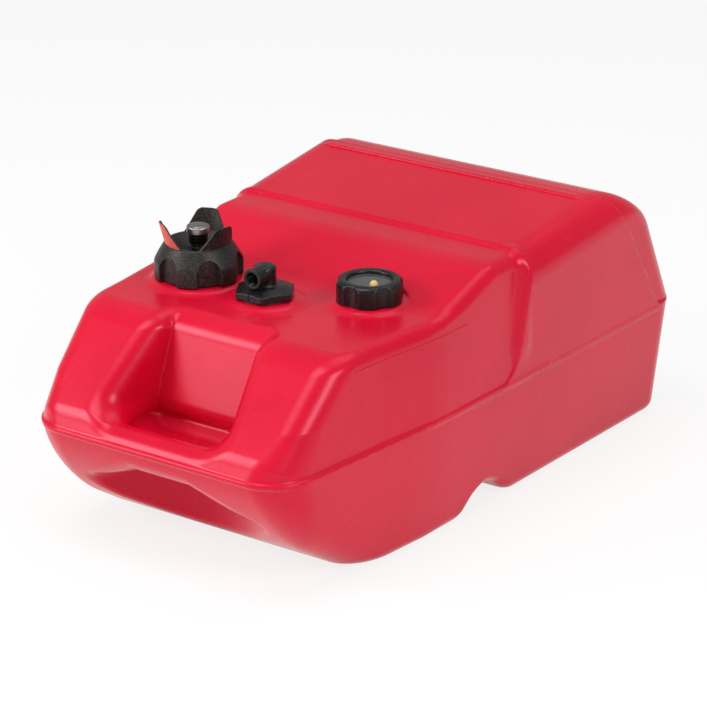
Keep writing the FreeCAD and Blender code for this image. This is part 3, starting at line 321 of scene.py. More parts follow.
def coil(name, axis, low, high, radius, wire, turns, sides=12):
    """A wire spring from one height to another, whose first and last 3/4 turns lie flat."""
    steps, flat = int(48 * turns), 0.75
    verts, faces = [], []
    for k in range(steps + 1):
        t = k / steps
        turn = 2 * math.pi * turns * t
        rise = ramp(t * turns, flat, turns - flat)
        centre = Vector((axis[0] + radius * math.cos(turn), axis[1] + radius * math.sin(turn),
                         low + wire / 2 + (high - low - wire) * rise))
        outward = Vector((math.cos(turn), math.sin(turn), 0))
        for i in range(sides):
            a = 2 * math.pi * i / sides
            verts.append(centre + (outward * math.cos(a) + Vector((0, 0, math.sin(a)))) * wire / 2)
    for k in range(steps):
        for i in range(sides):
            j = (i + 1) % sides
            faces.append((k * sides + i, (k + 1) * sides + i, (k + 1) * sides + j, k * sides + j))
    faces.append(tuple(range(sides)))
    faces.append(tuple(reversed(range(steps * sides, (steps + 1) * sides))))
    return smooth(name, verts, faces, 50)


# ---------------------------------------------------------------- shader sums


class Wire:
    """An output socket, used in sums: each operator adds a Math node to its finish."""

    def __init__(self, finish, socket):
        self.finish, self.socket = finish, socket

    def math(self, operation, *values):
        return self.finish.node("Math", {"operation": operation}, dict(enumerate(values)))

    def __add__(self, other):
        return self.math("ADD", self, other)

    def __sub__(self, other):
        return self.math("SUBTRACT", self, other)

    def __rsub__(self, other):
        return self.math("SUBTRACT", other, self)

    def __mul__(self, other):
        return self.math("MULTIPLY", self, other)

    def __pow__(self, other):
        return self.math("POWER", self, other)

    __radd__, __rmul__ = __add__, __mul__

    def sine(self):
        return self.math("SINE", self)

    def outputs(self, *names):
        """The node's outputs of these names."""
        return [Wire(self.finish, self.socket.node.outputs[name]) for name in names]

    def between(self, low, high):
        """0 below low, 1 above high, and a smooth step between."""
        return self.finish.node("MapRange", {"interpolation_type": "SMOOTHSTEP"},
                                {"Value": self, "From Min": low, "From Max": high})


class Finish:
    """A material, or the world, under construction."""

    def __init__(self, name, world=None):
        self.owner = world or bpy.data.materials.new(name)
        self.owner.use_nodes = True
        self.tree = self.owner.node_tree
        self.tree.nodes.clear()
        self.place = None if world else self.node("TexCoord", output="Object")

    def node(self, kind, settings=None, sockets=None, output=0):
        """A node of a kind: its settings are set first, then its sockets' values or links."""
        item = self.tree.nodes.new("ShaderNode" + kind)
        for key, value in (settings or {}).items():
            if key == "stops":
                elements = item.color_ramp.elements
                for spot, tint in value[1:-1]:
                    elements.new(spot)
                for element, (spot, tint) in zip(elements, value):
                    element.position, element.color = spot, tint
            else:
                setattr(item, key, value)
        for key, value in (sockets or {}).items():
            if isinstance(value, Wire):
                self.tree.links.new(value.socket, item.inputs[key])
            else:
                item.inputs[key].default_value = value
        return None if output is None else Wire(self, item.outputs[output])

    def noise(self, scale, detail, roughness, place=None):
        """Noise with features of about 1/scale metres."""
        sockets = {"Vector": place or self.place, "Scale": scale, "Detail": detail, "Roughness": roughness}
        return self.node("TexNoise", {}, sockets, "Fac")

    def stretched(self, x, y, z):
        """The place in the piece, scaled along each axis."""
        return self.node("VectorMath", {"operation": "MULTIPLY"}, {0: self.place, 1: (x, y, z)})

    def blend(self, mask, a, b):
        """The first colour where the mask is 0, the second where it is 1."""
        return self.node("Mix", {"data_type": "RGBA"}, {0: mask, 6: a, 7: b}, output=2)

    def axes(self):
        return self.node("SeparateXYZ", {}, {0: self.place}).outputs("X", "Y", "Z")

    def bump(self, height, distance, strength):
        return self.node("Bump", {}, {"Height": height, "Distance": distance, "Strength": strength})

    def surface(self, **sockets):
        """Ends the material in one Principled shader, its sockets written with _ for a space."""
        shader = self.node("BsdfPrincipled", {}, {k.replace("_", " "): v for k, v in sockets.items()})
        return self.end("Material", shader)

    def end(self, kind, shader):
        """Ends a Material or a World in a shader."""
        self.node("Output" + kind, {}, {"Surface": shader}, output=None)
        return self.owner


def shade(tint, by, towards=(0, 0, 0)):
    """A colour moved by a share towards another, both worked out in Python."""
    return tuple(t * (1 - by) + w * by for t, w in zip(tint[:3], towards)) + (1,)


def moulded_red(tint):
    """Satin moulded polyethylene: soft drifts of colour, a fine grain and light scuffs."""
    f = Finish("moulded_red")
    drift = f.noise(7, 3, 0.55).between(0.3, 0.7)
    cloud = f.noise(38, 4, 0.6)
    grain = f.noise(1500, 2, 0.6)
    peel = f.noise(210, 3, 0.5)
    scuff = f.noise(1, 5, 0.65, f.stretched(26, 160, 90)).between(0.60, 0.78)
    base = f.blend(drift, shade(tint, 0.08), shade(tint, 0.03, (1, 0.15, 0.2)))
    base = f.blend(scuff * cloud * 0.25, base, shade(tint, 0.16, (1, 0.35, 0.4)))
    rough = 0.21 + 0.07 * cloud + 0.10 * scuff + 0.04 * grain
    relief = 0.35 * peel + 0.12 * grain
    return f.surface(Base_Color=base, Roughness=rough, Specular_IOR_Level=0.46,
                     Specular_Tint=(1, 0.45, 0.58, 1), Normal=f.bump(relief, 0.00025, 0.55))


def textured_black(name, tint, coarse, rough, shine, speck=0.015):
    """Moulded black plastic with a fine spark-eroded texture and paler rubbed patches."""
    f = Finish(name)
    grain = f.noise(coarse, 3, 0.65)
    patch = f.noise(55, 4, 0.6).between(0.42, 0.70)
    rub = f.noise(260, 3, 0.6).between(0.52, 0.8)
    base = f.blend(grain.between(0.45, 0.72), shade(tint, 0.35), shade(tint, speck, (1, 0.86, 0.80)))
    base = f.blend(patch * rub * 0.4, base, shade(tint, 0.06, (1, 0.9, 0.85)))
    return f.surface(Base_Color=base, Roughness=rough + 0.10 * grain - 0.12 * patch,
                     Specular_IOR_Level=shine, Normal=f.bump(grain, 0.0002, 0.6))


def turned_steel(name, axis, rough=0.26):
    """Steel with fine turning marks round an upright axis."""
    f = Finish(name)
    x, y, z = f.axes()
    ring = ((x - axis[0]) ** 2 + (y - axis[1]) ** 2) ** 0.5
    marks = f.node("TexNoise", {"noise_dimensions": "1D"},
                   {"W": ring * 900 + z * 500, "Scale": 1.0, "Detail": 3.0}, "Fac")
    smear = f.noise(160, 4, 0.6)
    base = f.blend(smear, (0.26, 0.24, 0.235, 1), (0.42, 0.39, 0.38, 1))
    return f.surface(Base_Color=base, Metallic=1.0, Roughness=rough + 0.16 * marks + 0.10 * smear,
                     Normal=f.bump(marks, 0.00006, 0.7))


def wire_steel(name, tint):
    """Drawn steel with draw marks and a faint oily film."""
    f = Finish(name)
    marks = f.noise(1, 4, 0.6, f.stretched(2500, 2500, 120))
    film = f.noise(140, 3, 0.6)
    base = f.blend(film, shade(tint, 0.15), shade(tint, 0.10, (1, 0.95, 0.85)))
    return f.surface(Base_Color=base, Metallic=1.0, Roughness=0.28 + 0.2 * marks,
                     Normal=f.bump(marks, 0.00004, 0.6))


def soft_rubber(name):
    """Nitrile rubber: matt, with mould bloom."""
    f = Finish(name)
    tint = (0.018, 0.018, 0.019, 1)
    bloom = f.noise(120, 4, 0.6).between(0.4, 0.75)
    grain = f.noise(2200, 2, 0.5)
    base = f.blend(bloom, tint, shade(tint, 0.10, (1, 1, 1)))
    return f.surface(Base_Color=base, Roughness=0.72 + 0.15 * bloom, Normal=f.bump(grain, 0.00012, 0.5))


def dull_plastic(name, tint, rough, coarse=1400):
    """Unpainted moulded plastic with drifts of shade and a fine grain."""
    f = Finish(name)
    drift = f.noise(60, 3, 0.6)
    grain = f.noise(coarse, 2, 0.6)
    base = f.blend(drift, shade(tint, 0.10), shade(tint, 0.08, (1, 1, 1)))
    return f.surface(Base_Color=base, Roughness=rough + 0.10 * grain + 0.06 * drift,
                     Normal=f.bump(grain, 0.00015, 0.5))


def filter_gauze(axis):
    """White gauze woven round an upright axis."""
    f = Finish("filter_gauze")
    x, y, z = f.axes()
    turn = x.math("ARCTAN2", y - axis[1], x - axis[0])
    weave = (turn * 60).sine() * (z * 5200).sine()
    dirt = f.noise(220, 4, 0.6)
    base = f.blend(weave * 0.5 + 0.5, (0.55, 0.55, 0.52, 1), (0.82, 0.82, 0.79, 1))
    base = f.blend(dirt * 0.35, base, (0.62, 0.58, 0.50, 1))
    return f.surface(Base_Color=base, Roughness=0.75 + 0.1 * dirt, Normal=f.bump(weave, 0.0003, 0.7))


def clear_window():
    """Clear acrylic with faint wiping haze."""
    f = Finish("clear_window")
    haze = f.noise(1, 4, 0.6, f.stretched(60, 420, 60)).between(0.45, 0.8)
    return f.surface(Base_Color=(0.80, 0.83, 0.85, 1), Alpha=0.06 + 0.05 * haze,
                     Roughness=0.03 + 0.05 * haze)


def painted(name, tint, rough=0.4):
    """A thin coat of paint with small runs and specks."""
    f = Finish(name)
    specks = f.noise(900, 3, 0.6)
    wear = f.noise(240, 4, 0.65).between(0.58, 0.8)
    base = f.blend(specks, shade(tint, 0.08), shade(tint, 0.08, (1, 0.9, 0.8)))
    base = f.blend(wear * 0.5, base, shade(tint, 0.4))
    return f.surface(Base_Color=base, Roughness=rough + 0.15 * specks, Normal=f.bump(specks, 0.0001, 0.5))


# ---------------------------------------------------------------- the pieces' forms
# All in millimetres.  For the tank, y runs to the rear from its middle, z up from its base, and s
# is the distance from its middle plane.  For a fitting, x, y and z run from its own axis at the
# deck's height.  A slope, flare or lean is the move of a face per millimetre.

FILLER = (-77.0, -123.0)
OUTLET = (0.0, -132.0)
GAUGE = (75.0, -87.0)

# Axis and radius of each seat; axis, top radius and foot radius of each collar; and axis, radius,
# depth and corner of each bore.
SEATS = ((FILLER, 40.5), (GAUGE, 31))
COLLARS = ((FILLER, 39, 44), (OUTLET, 28.5, 36), (GAUGE, 31, 36))
BORES = ((FILLER, 22.5, 12, 4.0), (OUTLET, 12.2, 16, 0.0), (GAUGE, 17.5, 17, 0.0))

SIDE_FLARE = 0.02
FRONT_FLARE = 0.091
FRONT_END = -290
FRONT_INSET = 19.5
LOWER_LEAN = 0.086
DECK_LEAN = -0.03

FINS = 3
FIN_ANGLE = 112


def ramp(value, start, end):
    """0 on the near side of start, 1 beyond end, and a straight line between them."""
    return np.clip((value - start) / (end - start), 0, 1)


def tilted(offset, *slopes):
    """The distance from a sloping face, from the offset along one axis and the face's slopes."""
    return offset / math.hypot(1, *slopes)


def half_widths(half, y):
    """Half the width at the parting line, by the main and by the front stretch of each side."""
    return half + SIDE_FLARE * y, half - FRONT_INSET + FRONT_FLARE * (y - FRONT_END)


def ledge(y):
    """How far the deck half stands inside the parting line: less towards the rear."""
    return 3.8 - 3.0 * ramp(y, -160, -80)


def tank_form(t):
    """The tank's outer form with its pockets."""
    parting, deck, rise, ridge, crease = (mm(v) for v in (t.parting, t.deck, t.rise, t.ridge, t.crease))
    half, collar = mm(t.half_width), mm(t.collar)
    rim = deck + collar
    ridge_y, crease_y = 32, 161
    sunk = 2  # how far the upper forms reach below the parting line

    def sides(s, y, z, lean, inset):
        stretches = [tilted(s - width - lean * (z - parting), flare, lean)
                     for width, flare in zip(half_widths(half, y), (SIDE_FLARE, FRONT_FLARE))]
        return both(*stretches, 2.0) + inset

    def lower_half(s, y, z):
        """Below the parting line, with a front that turns under at the chin."""
        nose, chin, base = (FRONT_END, parting), (-270, 56), (-181, 0)
        base_rear, rear_lean = 284, 0.055
        turn_under, rear_corner, base_edge, parting_edge = 30.0, 30.0, 9.0, 0.9
        front = both(plane(y, z, chin, base), plane(y, z, nose, chin), turn_under)
        rear = tilted(y - base_rear - rear_lean * z, rear_lean)
        front_corner = 22.0 + 14.0 * ramp(z, 0, parting)
        plan = both(both(sides(s, y, z, LOWER_LEAN, 0), front, front_corner), rear, rear_corner)
        return both(both(plan, -z, base_edge), z - parting, parting_edge)

    def deck_half(s, y, z):
        """The deck, its nose with a steep foot, and its rise to the ridge."""
        foot_y, foot_lean, face_y, face_z, face_lean = -289, 0.36, -277.5, 130, 1.01
        rise_y, rise_slope, rise_reach = -82, 0.3378, 3.2
        nose_crease, deck_edge, rear_end = 2.8, 12.0, 72
        foot = tilted(foot_y + foot_lean * (z - parting) - y, foot_lean)
        face = tilted(face_y + face_lean * (z - face_z) - y, face_lean)
        slope = tilted(z - deck - rise_slope * (y - rise_y), rise_slope)
        roof = either(z - deck, both(slope, z - rise, rise_reach), rise_reach)
        nose_corner = 21.0 + 13.0 * ramp(z, 145, parting)
        plan = both(sides(s, y, z, DECK_LEAN, ledge(y)), both(foot, face, nose_crease), nose_corner)
        return both(both(plan, roof, deck_edge), np.maximum(y - rear_end, parting - sunk - z))

    def rear_block(s, y, z):
        """The raised block from the ridge to the crease."""
        front_lean, back_lean, front_end, rear_end = 0.118, 0.738, -42, 258.7
        block_edge, ridge_foot, ridge_edge, crease_foot, crease_edge = 30.0, 24.0, 3.0, 4.0, 1.5
        climb = (crease - ridge) / (crease_y - ridge_y)
        roof = tilted(z - ridge - climb * (y - ridge_y), climb)
        front = tilted(ridge_y + front_lean * (z - ridge) - y, front_lean)
        back = tilted(y - crease_y - back_lean * (crease - z), back_lean)
        body = both(sides(s, y, z, LOWER_LEAN, 0), roof, block_edge)
        body = both(body, either(z - parting, front, ridge_foot), ridge_edge)
        body = both(body, either(z - parting, back, crease_foot), crease_edge)
        return both(body, np.maximum(slab(y, front_end, rear_end), parting - 5 - z))

    def tail(s, y, z):
        """Behind the crease, a step inside the block."""
        front_end, roof_step, roof_fall, base_rear, rear_lean = 146, 1, 0.12, 288, 0.6
        side_step, crown = 3, 35.0
        roof = tilted(z - crease + roof_step + roof_fall * (y - crease_y), roof_fall)
        back = tilted(y - base_rear + rear_lean * (z - parting), rear_lean)
        corner = 36.0 - 17.0 * ramp(y, 150, 220)
        plan = both(sides(s, y, z, LOWER_LEAN, side_step), both(roof, back, crown), corner)
        return both(plan, np.maximum(front_end - y, parting - sunk - z))

    def grip_pocket(s, y, z):
        """The pocket behind the grip bar, with a leaning back panel that widens downwards."""
        panel_y, panel_z, panel_lean = -218, 108, 0.25
        floor_y, floor_z, floor_slope = -219, 100.5, 0.40
        top_half, top_z, side_slope, flank_flare = 46.5, 173, 0.107, 0.15
        floor_corner, panel_edge = 22.0, 1.2
        depth = panel_lean * (z - panel_z) + panel_y - y
        floor = tilted(floor_z + floor_slope * (floor_y - y) - z, floor_slope)
        panel_half = top_half + side_slope * (top_z - z)
        flank = tilted(s - panel_half - flank_flare * depth, flank_flare)
        return both(both(floor, flank, floor_corner), tilted(-depth, panel_lean), panel_edge)

    def grip_hollow(s, y, z):
        """The finger hollow under the grip bar, with a roof that falls to its sides and lip."""
        roof_z, roof_half, side_fall, lip_y, lip_fall = 82, 30, 0.36, -268, 0.516
        wall_y, wall_bow, roof_corner = -203, 0.0062, 14.0
        fall = lip_fall * np.minimum(y - lip_y, 0) + side_fall * np.maximum(s - roof_half, 0)
        roof = (z - roof_z + fall) / 1.15
        wall = (y - wall_y + wall_bow * s * s) / np.hypot(1, 2 * wall_bow * s)
        return both(roof, wall, roof_corner)

    def strap_channel(y, z):
        """The channel for a hold-down strap across the base."""
        middle, roof_half, depth, flare = -10, 12, 21, 1.143
        flank = tilted(np.abs(y - middle) - roof_half - flare * (depth - z), flare)
        return both(flank, z - depth, 5.0)

    def form(x, y, z):
        s = np.abs(x)
        body = either(lower_half(s, y, z), deck_half(s, y, z), 3.4)
        # The block's fillet is broad only where the ridge comes down the side.
        broad = ramp(s, 125, 140) * ramp(z, 118, 138) * ramp(y, 48, 32)
        body = either(body, rear_block(s, y, z), 1.5 + 9.0 * broad)
        body = either(body, tail(s, y, z), 1.2)
        for axis, radius in SEATS:
            body = without(body, both(disc(x, y, radius, axis), rim - z), 3.0)
        body = without(body, grip_pocket(s, y, z), 18.0)
        body = without(body, grip_hollow(s, y, z), 5.0)
        body = without(body, strap_channel(y, z), 8.0)
        for axis, top, foot in COLLARS:
            fall = (foot - top) / collar
            cone = tilted(disc(x, y, top, axis) - fall * (rim - z), fall)
            body = either(body, both(both(cone, z - rim, 1.5), deck - 4 - z), 2.5)
        for axis, radius, depth, corner in BORES:
            body = without(body, both(disc(x, y, radius, axis), deck - depth - z, corner), 0.5)
        return body
    return form


def fill_line_form(t):
    """A fine raised bead along the tank's side, a little below the deck."""
    below_deck, radius, sunk = 14, 0.75, 0.2
    half, parting, z = mm(t.half_width), mm(t.parting), mm(t.deck) - below_deck
    marks = [np.array((min(half_widths(half, y)) + DECK_LEAN * (z - parting) - ledge(y) - sunk, y, z))
             for y in (-193, -160, -120, -97, -80, -49)]

    def form(*p):
        p, near = np.stack(p, 1), 1e3
        for a, b in zip(marks, marks[1:]):
            along = np.clip((p - a) @ (b - a) / ((b - a) @ (b - a)), 0, 1)
            near = np.minimum(near, np.linalg.norm(p - a - along[:, None] * (b - a), axis=1))
        return near - radius
    return form


def thread(x, y, z, pitch):
    """A ridge that winds round the z axis: 0 in its grooves and 1 on its crests."""
    turn = np.arctan2(y, x) / (2 * math.pi) + z / pitch
    return np.abs(2 * (turn - np.floor(turn)) - 1)


def neck_form(pitch):
    """The filler neck, with a thread that runs out at both ends."""
    outer, bore, foot, top, thread_depth = 27.0, 22.5, 2.5, 20.0, 1.1

    def form(x, y, z):
        r = np.hypot(x, y)
        groove = thread_depth * thread(x, y, z, pitch) * ramp(z, 5, 7) * ramp(z, 18.5, 16.5)
        return both(both(r - outer + groove, bore - r), slab(z, foot, top), 0.5)
    return form


def sector(x, y, count, start=0.0):
    """The angle round the z axis from the middle of the nearest of a count of equal sectors."""
    part = 2 * math.pi / count
    return np.mod(np.arctan2(y, x) - start, part) - part / 2


def fin(x, y, z, k, tip, inner, outer):
    """One of the fins that curve round the cap's rim and lean out, between two depths of it."""
    foot_z, foot_radius, lean, foot_half, taper = 32, 25.4, 0.258, 20, 0.52
    a = math.radians(FIN_ANGLE + 360 * k / FINS)
    out, across = x * math.cos(a) + y * math.sin(a), y * math.cos(a) - x * math.sin(a)
    face = foot_radius + lean * (z - foot_z)
    wall = tilted(slab(np.hypot(x, y), face + inner, face + outer), lean)
    width = tilted(np.abs(across) - foot_half + taper * (z - foot_z), taper)
    return both(both(wall, both(width, z - tip, 3.0), 0.4), -out)


def cap_form(c):
    """The filler cap: a skirt with arched recesses, a sunken top, and fins that stand on its rim."""
    radius, rim, shoulder, top, tip = (mm(v) for v in (c.radius, c.rim, c.shoulder, c.height, c.fin_height))
    skirt_foot, shoulder_inset, rim_wall = 4.8, 2, 1.6
    floor_z, floor_radius, crater_slope = 26.5, 14, 0.72
    arch_half, arch_z, arch_depth = 10.5, 17, 4.6
    fin_root, fin_wall = 30, 1.9
    inner_radius, plate_z, stem_bore = 30.6, 22.5, 4.2
    fall = (radius - rim - shoulder_inset) / (top - shoulder)

    def form(x, y, z):
        r = np.hypot(x, y)
        skirt = both(r - radius, skirt_foot - z, 0.8)
        cone = tilted(r - radius + fall * (z - shoulder), fall)
        body = both(both(skirt, cone, 1.2), z - top, 0.8)
        slope = tilted(floor_z + crater_slope * (r - floor_radius) - z, crater_slope)
        crater = both(both(slope, floor_z - z, 1.5), r - rim + rim_wall, 1.0)
        body = without(body, crater, 0.9)
        side = radius * sector(x, y, c.recesses, math.radians(FIN_ANGLE))
        arch = either(both(np.abs(side) - arch_half, z - arch_z), np.hypot(side, z - arch_z) - arch_half)
        body = without(body, both(arch, radius - arch_depth - r, 0.6), 0.7)
        for k in range(FINS):
            body = either(body, both(fin(x, y, z, k, tip, 0, fin_wall), fin_root - z), 0.8)
        body = without(body, both(r - inner_radius, z - plate_z), 0.3)
        return without(body, r - stem_bore, 0.3)
    return form


def marker_form(c):
    """The coloured face over the outside of the second fin."""
    tip = mm(c.fin_height)

    def form(x, y, z):
        return both(fin(x, y, z, 1, tip, 1.2, 2.4), 34.5 - z)
    return form


def outlet_form(f):
    """The outlet: a hexagon, a spigot below it, an upright above it and a threaded side port."""
    flats = mm(f.hex_flats) / 2
    bevel_reach, bevel_z, bevel_slope = 0.5, 11.8, 2.8
    hex_foot, hex_top, slit_half, slit_depth = 6, 15, 0.3, 0.5
    upright_radius, upright_top, spigot_radius, spigot_foot = 9.7, 32, 12, -14
    port_z, port_radius, port_bore, port_mouth, bore_end = 24, 8.8, 5.8, -18, -6
    thread_depth, passage = 0.7, 4

    def form(x, y, z):
        r, hexagon = np.hypot(x, y), np.full_like(x, -1e3)
        for k in range(3):
            a = math.radians(60 * k + 30)
            hexagon = both(hexagon, np.abs(x * math.cos(a) + y * math.sin(a)) - flats, 0.8)
        cone = tilted(r - flats - bevel_reach + bevel_slope * (z - bevel_z), bevel_slope)
        body = both(both(hexagon, cone, 0.4), slab(z, hex_foot, hex_top), 0.5)
        body = either(body, both(r - upright_radius, slab(z, hex_top - 1, upright_top), 3.0), 2.5)
        body = without(body, both(np.abs(x) - slit_half, flats - slit_depth - r), 0.2)
        body = either(body, both(r - spigot_radius, slab(z, spigot_foot, hex_foot + 1)))
        from_port = np.hypot(x, z - port_z)
        body = either(body, both(from_port - port_radius, slab(y, port_mouth, 0), 0.9), 1.0)
        grooves = port_bore + thread_depth * thread(x, z - port_z, y, mm(f.port_thread))
        body = without(body, both(from_port - grooves, slab(y, 2 * port_mouth, bore_end)), 0.2)
        return without(body, both(r - passage, slab(z, -30, port_z)))
    return form


def ring_form(count):
    """The gauge's clamping ring, scalloped outside and stepped inside for the lens and flange."""
    radius, foot, top = 28.5, 4, 23
    scallop_place, scallop_radius = 40.5, 15
    opening, opening_foot, lens_radius, lens_top, flange_radius, flange_top = 19, 15.0, 21.5, 19.5, 24.6, 8

    def form(x, y, z):
        r, turn = np.hypot(x, y), sector(x, y, count)
        scallop = np.hypot(r * np.cos(turn) - scallop_place, r * np.sin(turn)) - scallop_radius
        body = both(both(r - radius, z - top, 5.0), foot - z, 0.6)
        body = without(body, scallop, 0.7)
        body = without(body, both(r - opening, opening_foot - z), 2.6)
        body = without(body, both(r - lens_radius, z - lens_top))
        return without(body, both(r - flange_radius, z - flange_top))
    return form


# ---------------------------------------------------------------- operators


def settings(context):
    return {name: getattr(context.scene, f"fuel_{name}") for name in GROUPS}


def dress(item, material, body, slot, *nodes):
    """Gives a new piece its finish and body, and hides the CAD nodes it stands for. The slot is not used."""
    item.data.materials.append(material)
    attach(item, body)
    if nodes:
        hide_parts(*nodes)


def finish_node(name, material):
    """Gives a carried-over CAD node its finish."""
    data = NODES[name].data
    data.materials.clear()
    data.materials.append(material)


def deck_point(axis, t):
    """Where a fitting's axis meets the deck, in metres."""
    return (axis[0] / 1000, axis[1] / 1000, t.deck)


def upright_skin(name, form, spot, reach, low, high, pitch):
    """A skin round an upright axis: its box reaches as far to each side, and from one height over
    the spot to another."""
    x, y, z = spot
    return skin(name, form, (x - reach, y - reach, z + low), (x + reach, y + reach, z + high), pitch, spot)


class AddTank(bpy.types.Operator):
    """Adds the moulded tank's skin, its threaded neck and its fill line"""

    bl_idname = "fuel.add_tank"
    bl_label = "Tank"

    def execute(self, context):
        s = settings(context)
        t = s["tank"]
        red = moulded_red(s["colours"].tank)
        low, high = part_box("tank_shell")
        margin = Vector((0.006,) * 3)
        pitch = t.pitch
        tank = skin("tank_skin", tank_form(t), low - margin, high + margin, pitch)
        dress(tank, red, "tank", "tank_red", "tank_shell")
        neck_pitch = 0.0009
        neck = upright_skin("filler_neck", neck_form(mm(s["fittings"].neck_thread)),
                            deck_point(FILLER, t), reach=0.031, low=0.001, high=0.022, pitch=neck_pitch)
        dress(neck, red, "tank", "tank_red")
        line_pitch = 0.0005
        line = skin("fill_line", fill_line_form(t), (0.130, -0.196, t.deck - 0.016),
                    (0.152, -0.046, t.deck - 0.012), line_pitch)
        dress(line, red, "tank", "tank_red")
        return {"FINISHED"}


class AddCap(bpy.types.Operator):
    """Adds the filler cap and its marker, and finishes its sleeve and gasket"""

    bl_idname = "fuel.add_cap"
    bl_label = "Filler cap"

    def execute(self, context):
        s = settings(context)
        x, y, z = spot = deck_point(FILLER, s["tank"])
        black = textured_black("cap_black", s["colours"].cap, coarse=1100, rough=0.40, shine=0.32, speck=0.07)
        pitch = s["cap"].pitch
        cap = upright_skin("filler_cap_skin", cap_form(s["cap"]), spot,
                           reach=0.040, low=0.002, high=0.056, pitch=pitch)
        dress(cap, black, "cap", "cap_black", "filler_cap")
        sleeve_black = textured_black("sleeve_black", s["colours"].cap, coarse=1800, rough=0.45, shine=0.20)
        finish_node("cap_sleeve", sleeve_black)
        finish_node("cap_gasket", soft_rubber("gasket_rubber"))
        # The box leaves out the other two fins' sides of the cap.
        marker = skin("fin_marker_face", marker_form(s["cap"]), (x - 0.036, y - 0.036, z + 0.033),
                      (x + 0.010, y + 0.010, z + 0.056), pitch * 0.7, spot)
        dress(marker, painted("marker_red", s["colours"].marker), "cap", "marker_red", "fin_marker")
        return {"FINISHED"}


class AddVent(bpy.types.Operator):
    """Adds the vent's steel button and spring, and finishes its collar, stem and seal"""

    bl_idname = "fuel.add_vent"
    bl_label = "Vent"

    def execute(self, context):
        s = settings(context)
        c = s["cap"]
        x, y, z = deck_point(FILLER, s["tank"])
        # The button's outline, with a fine groove round its top.
        button = lathe("vent_button_turned", [
            (0, z + 0.043, 0), (0.010, z + 0.043, 0.0006), (0.010, z + 0.0488, 0.0016),
            (0.0076, z + 0.0492, 0.0003), (0.0073, z + 0.0489, 0.0002), (0.0069, z + 0.0493, 0.0003),
            (0, z + 0.0495, 0)], (x, y))
        dress(button, turned_steel("button_steel", (x, y)), "vent", "button_steel", "vent_button")
        low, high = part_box("vent_spring")
        spring = coil("vent_spring_coil", (x, y), low.z, high.z, high.x - x - c.spring_wire / 2,
                      c.spring_wire, c.spring_turns)
        steel = wire_steel("spring_steel", (0.06, 0.06, 0.062, 1))
        dress(spring, steel, "cap", "spring_steel", "vent_spring")
        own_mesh(spring)
        vent_black = textured_black("vent_black", s["colours"].cap, coarse=1800, rough=0.42, shine=0.20)
        finish_node("vent_collar", vent_black)
        finish_node("vent_stem", turned_steel("stem_steel", (x, y), rough=0.22))
        finish_node("vent_seal", soft_rubber("seal_rubber"))
        return {"FINISHED"}


class AddOutlet(bpy.types.Operator):
    """Adds the outlet elbow and finishes its gasket and its pickup"""

    bl_idname = "fuel.add_outlet"
    bl_label = "Outlet"

    def execute(self, context):
        s = settings(context)
        f = s["fittings"]
        spot = deck_point(OUTLET, s["tank"])
        black = textured_black("fitting_black", s["colours"].fitting, coarse=2200, rough=0.22, shine=0.36)
        pitch = f.pitch
        elbow = upright_skin("outlet_elbow", outlet_form(f), spot,
                             reach=0.033, low=-0.016, high=0.041, pitch=pitch)
        dress(elbow, black, "tank", "fitting_black", "outlet_fitting")
        finish_node("outlet_gasket", soft_rubber("outlet_rubber"))
        finish_node("pickup_tube", dull_plastic("tube_grey", (0.32, 0.32, 0.31, 1), rough=0.42))
        finish_node("pickup_filter", filter_gauze(spot))
        return {"FINISHED"}


class AddGauge(bpy.types.Operator):
    """Adds the gauge's ring and finishes its window, dial, pointer, frame and float"""

    bl_idname = "fuel.add_gauge"
    bl_label = "Gauge"

    def execute(self, context):
        s = settings(context)
        spot = deck_point(GAUGE, s["tank"])
        black = textured_black("ring_black", s["colours"].fitting, coarse=2200, rough=0.22, shine=0.36)
        pitch = s["fittings"].pitch * 1.2
        ring = upright_skin("gauge_ring_skin", ring_form(s["fittings"].scallops), spot,
                            reach=0.036, low=0.002, high=0.024, pitch=pitch)
        dress(ring, black, "tank", "fitting_black", "gauge_ring")
        finish_node("gauge_lens", clear_window())
        finish_node("gauge_dial", dull_plastic("dial_black", (0.012, 0.012, 0.013, 1), rough=0.5))
        finish_node("gauge_pointer", painted("pointer_yellow", s["colours"].pointer, rough=0.35))
        finish_node("gauge_housing", dull_plastic("housing_black", (0.015, 0.015, 0.016, 1), rough=0.5))
        finish_node("gauge_gasket", soft_rubber("gauge_rubber"))
        finish_node("twisted_rod", wire_steel("strip_steel", (0.55, 0.54, 0.52, 1)))
        finish_node("gauge_frame", dull_plastic("frame_grey", (0.20, 0.20, 0.21, 1), rough=0.45))
        finish_node("frame_foot", dull_plastic("foot_grey", (0.20, 0.20, 0.21, 1), rough=0.45))
        finish_node("gauge_float", dull_plastic("float_black", (0.02, 0.02, 0.02, 1), rough=0.7, coarse=700))
        return {"FINISHED"}


def aimed(item, spot, back):
    """Puts a lamp or the camera in its spot, facing away from a direction."""
    item.location = spot
    item.rotation_mode = "QUATERNION"
    item.rotation_quaternion = back.to_track_quat("Z", "Y")


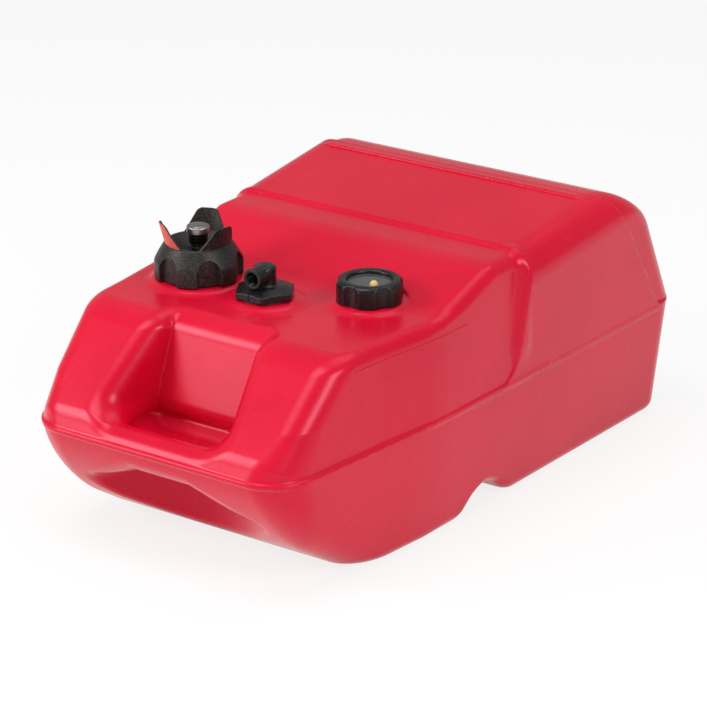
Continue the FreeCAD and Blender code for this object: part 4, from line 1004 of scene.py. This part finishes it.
class AddStage(bpy.types.Operator):
    """Adds the floor, the soft lights and the camera"""

    bl_idname = "fuel.add_stage"
    bl_label = "Stage"

    def execute(self, context):
        scene = context.scene
        tint = settings(context)["colours"].floor
        mesh = bpy.data.meshes.new("floor")
        reach = 9
        corners = [(-reach, -reach, 0), (reach, -reach, 0), (reach, reach, 0), (-reach, reach, 0)]
        mesh.from_pydata(corners, [], [(0, 1, 2, 3)])
        floor = place("floor", mesh)
        f = Finish("floor_white")
        direct, mirrored, through = f.node("LightPath").outputs(
            "Is Camera Ray", "Is Glossy Ray", "Is Transmission Ray")
        plain = f.node("BsdfDiffuse", {}, {"Color": tint})
        white = f.node("Emission", {}, {"Color": (1, 1, 1, 1), "Strength": 1.0})
        # The part of the floor's plain white that these rays see, over its shadow.
        backdrop = (direct + mirrored + through) * 0.82
        floor.data.materials.append(
            f.end("Material", f.node("MixShader", {}, {0: backdrop, 1: plain, 2: white})))
        floor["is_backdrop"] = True

        scene.world = bpy.data.worlds.new("studio")
        w = Finish("studio", scene.world)
        w.end("World", w.node("Background", {}, {"Color": (1, 1, 1, 1), "Strength": 0.36}))

        aim = Vector((0, 0, 0.1))
        # Name, place and size in metres, and power in watts.
        for name, spot, size, power in (
            ("key", (-0.2, -0.9, 2.3), 1.2, 22),
            ("top", (0.3, 0.8, 2.4), 1.4, 9),
            ("front", (-1.3, -1.55, 1.25), 0.7, 18),
            ("low", (-1.3, -2.0, 0.30), 0.8, 9),
            ("side", (2.0, -0.5, 1.4), 0.75, 19),
        ):
            lamp = bpy.data.lights.new(name, "AREA")
            lamp.size, lamp.energy = size, power
            aimed(place(name, lamp), spot, Vector(spot) - aim)

        camera = place("camera", bpy.data.cameras.new("camera"))
        camera.data.lens = 158.69
        camera.data.clip_end = 50
        aimed(camera, (1.4746, -2.0802, 1.0990), Vector((0.5397, -0.7597, 0.3630)))
        scene.camera = camera
        scene.view_settings.view_transform = "Standard"
        return {"FINISHED"}


STEPS = (AddTank, AddCap, AddVent, AddOutlet, AddGauge, AddStage)


class FuelTankPanel(bpy.types.Panel):
    """Lists the tank's sizes and the steps that build it"""

    bl_idname = "VIEW3D_PT_fuel_tank"
    bl_label = "Outboard fuel tank"
    bl_space_type = "VIEW_3D"
    bl_region_type = "UI"
    bl_category = "Fuel tank"

    def draw(self, context):
        for name, group in settings(context).items():
            box = self.layout.box()
            box.label(text=name.capitalize())
            for key in GROUPS[name].__annotations__:
                box.prop(group, key)
        for step in STEPS:
            self.layout.operator(step.bl_idname)


def register():
    for item in (*GROUPS.values(), *STEPS, FuelTankPanel):
        bpy.utils.register_class(item)
    for name, group in GROUPS.items():
        setattr(bpy.types.Scene, f"fuel_{name}", PointerProperty(type=group))


def unregister():
    for name in GROUPS:
        delattr(bpy.types.Scene, f"fuel_{name}")
    for item in (FuelTankPanel, *reversed(STEPS), *reversed(list(GROUPS.values()))):
        bpy.utils.unregister_class(item)


def main():
    register()
    for step in STEPS:
        group, name = step.bl_idname.split(".")
        getattr(getattr(bpy.ops, group), name)()
    boxes = {"cad": CAD_BOX, "visual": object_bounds()}
    {key: [list(corner) for corner in box] for key, box in boxes.items()}


if __name__ == "__main__":
    main()
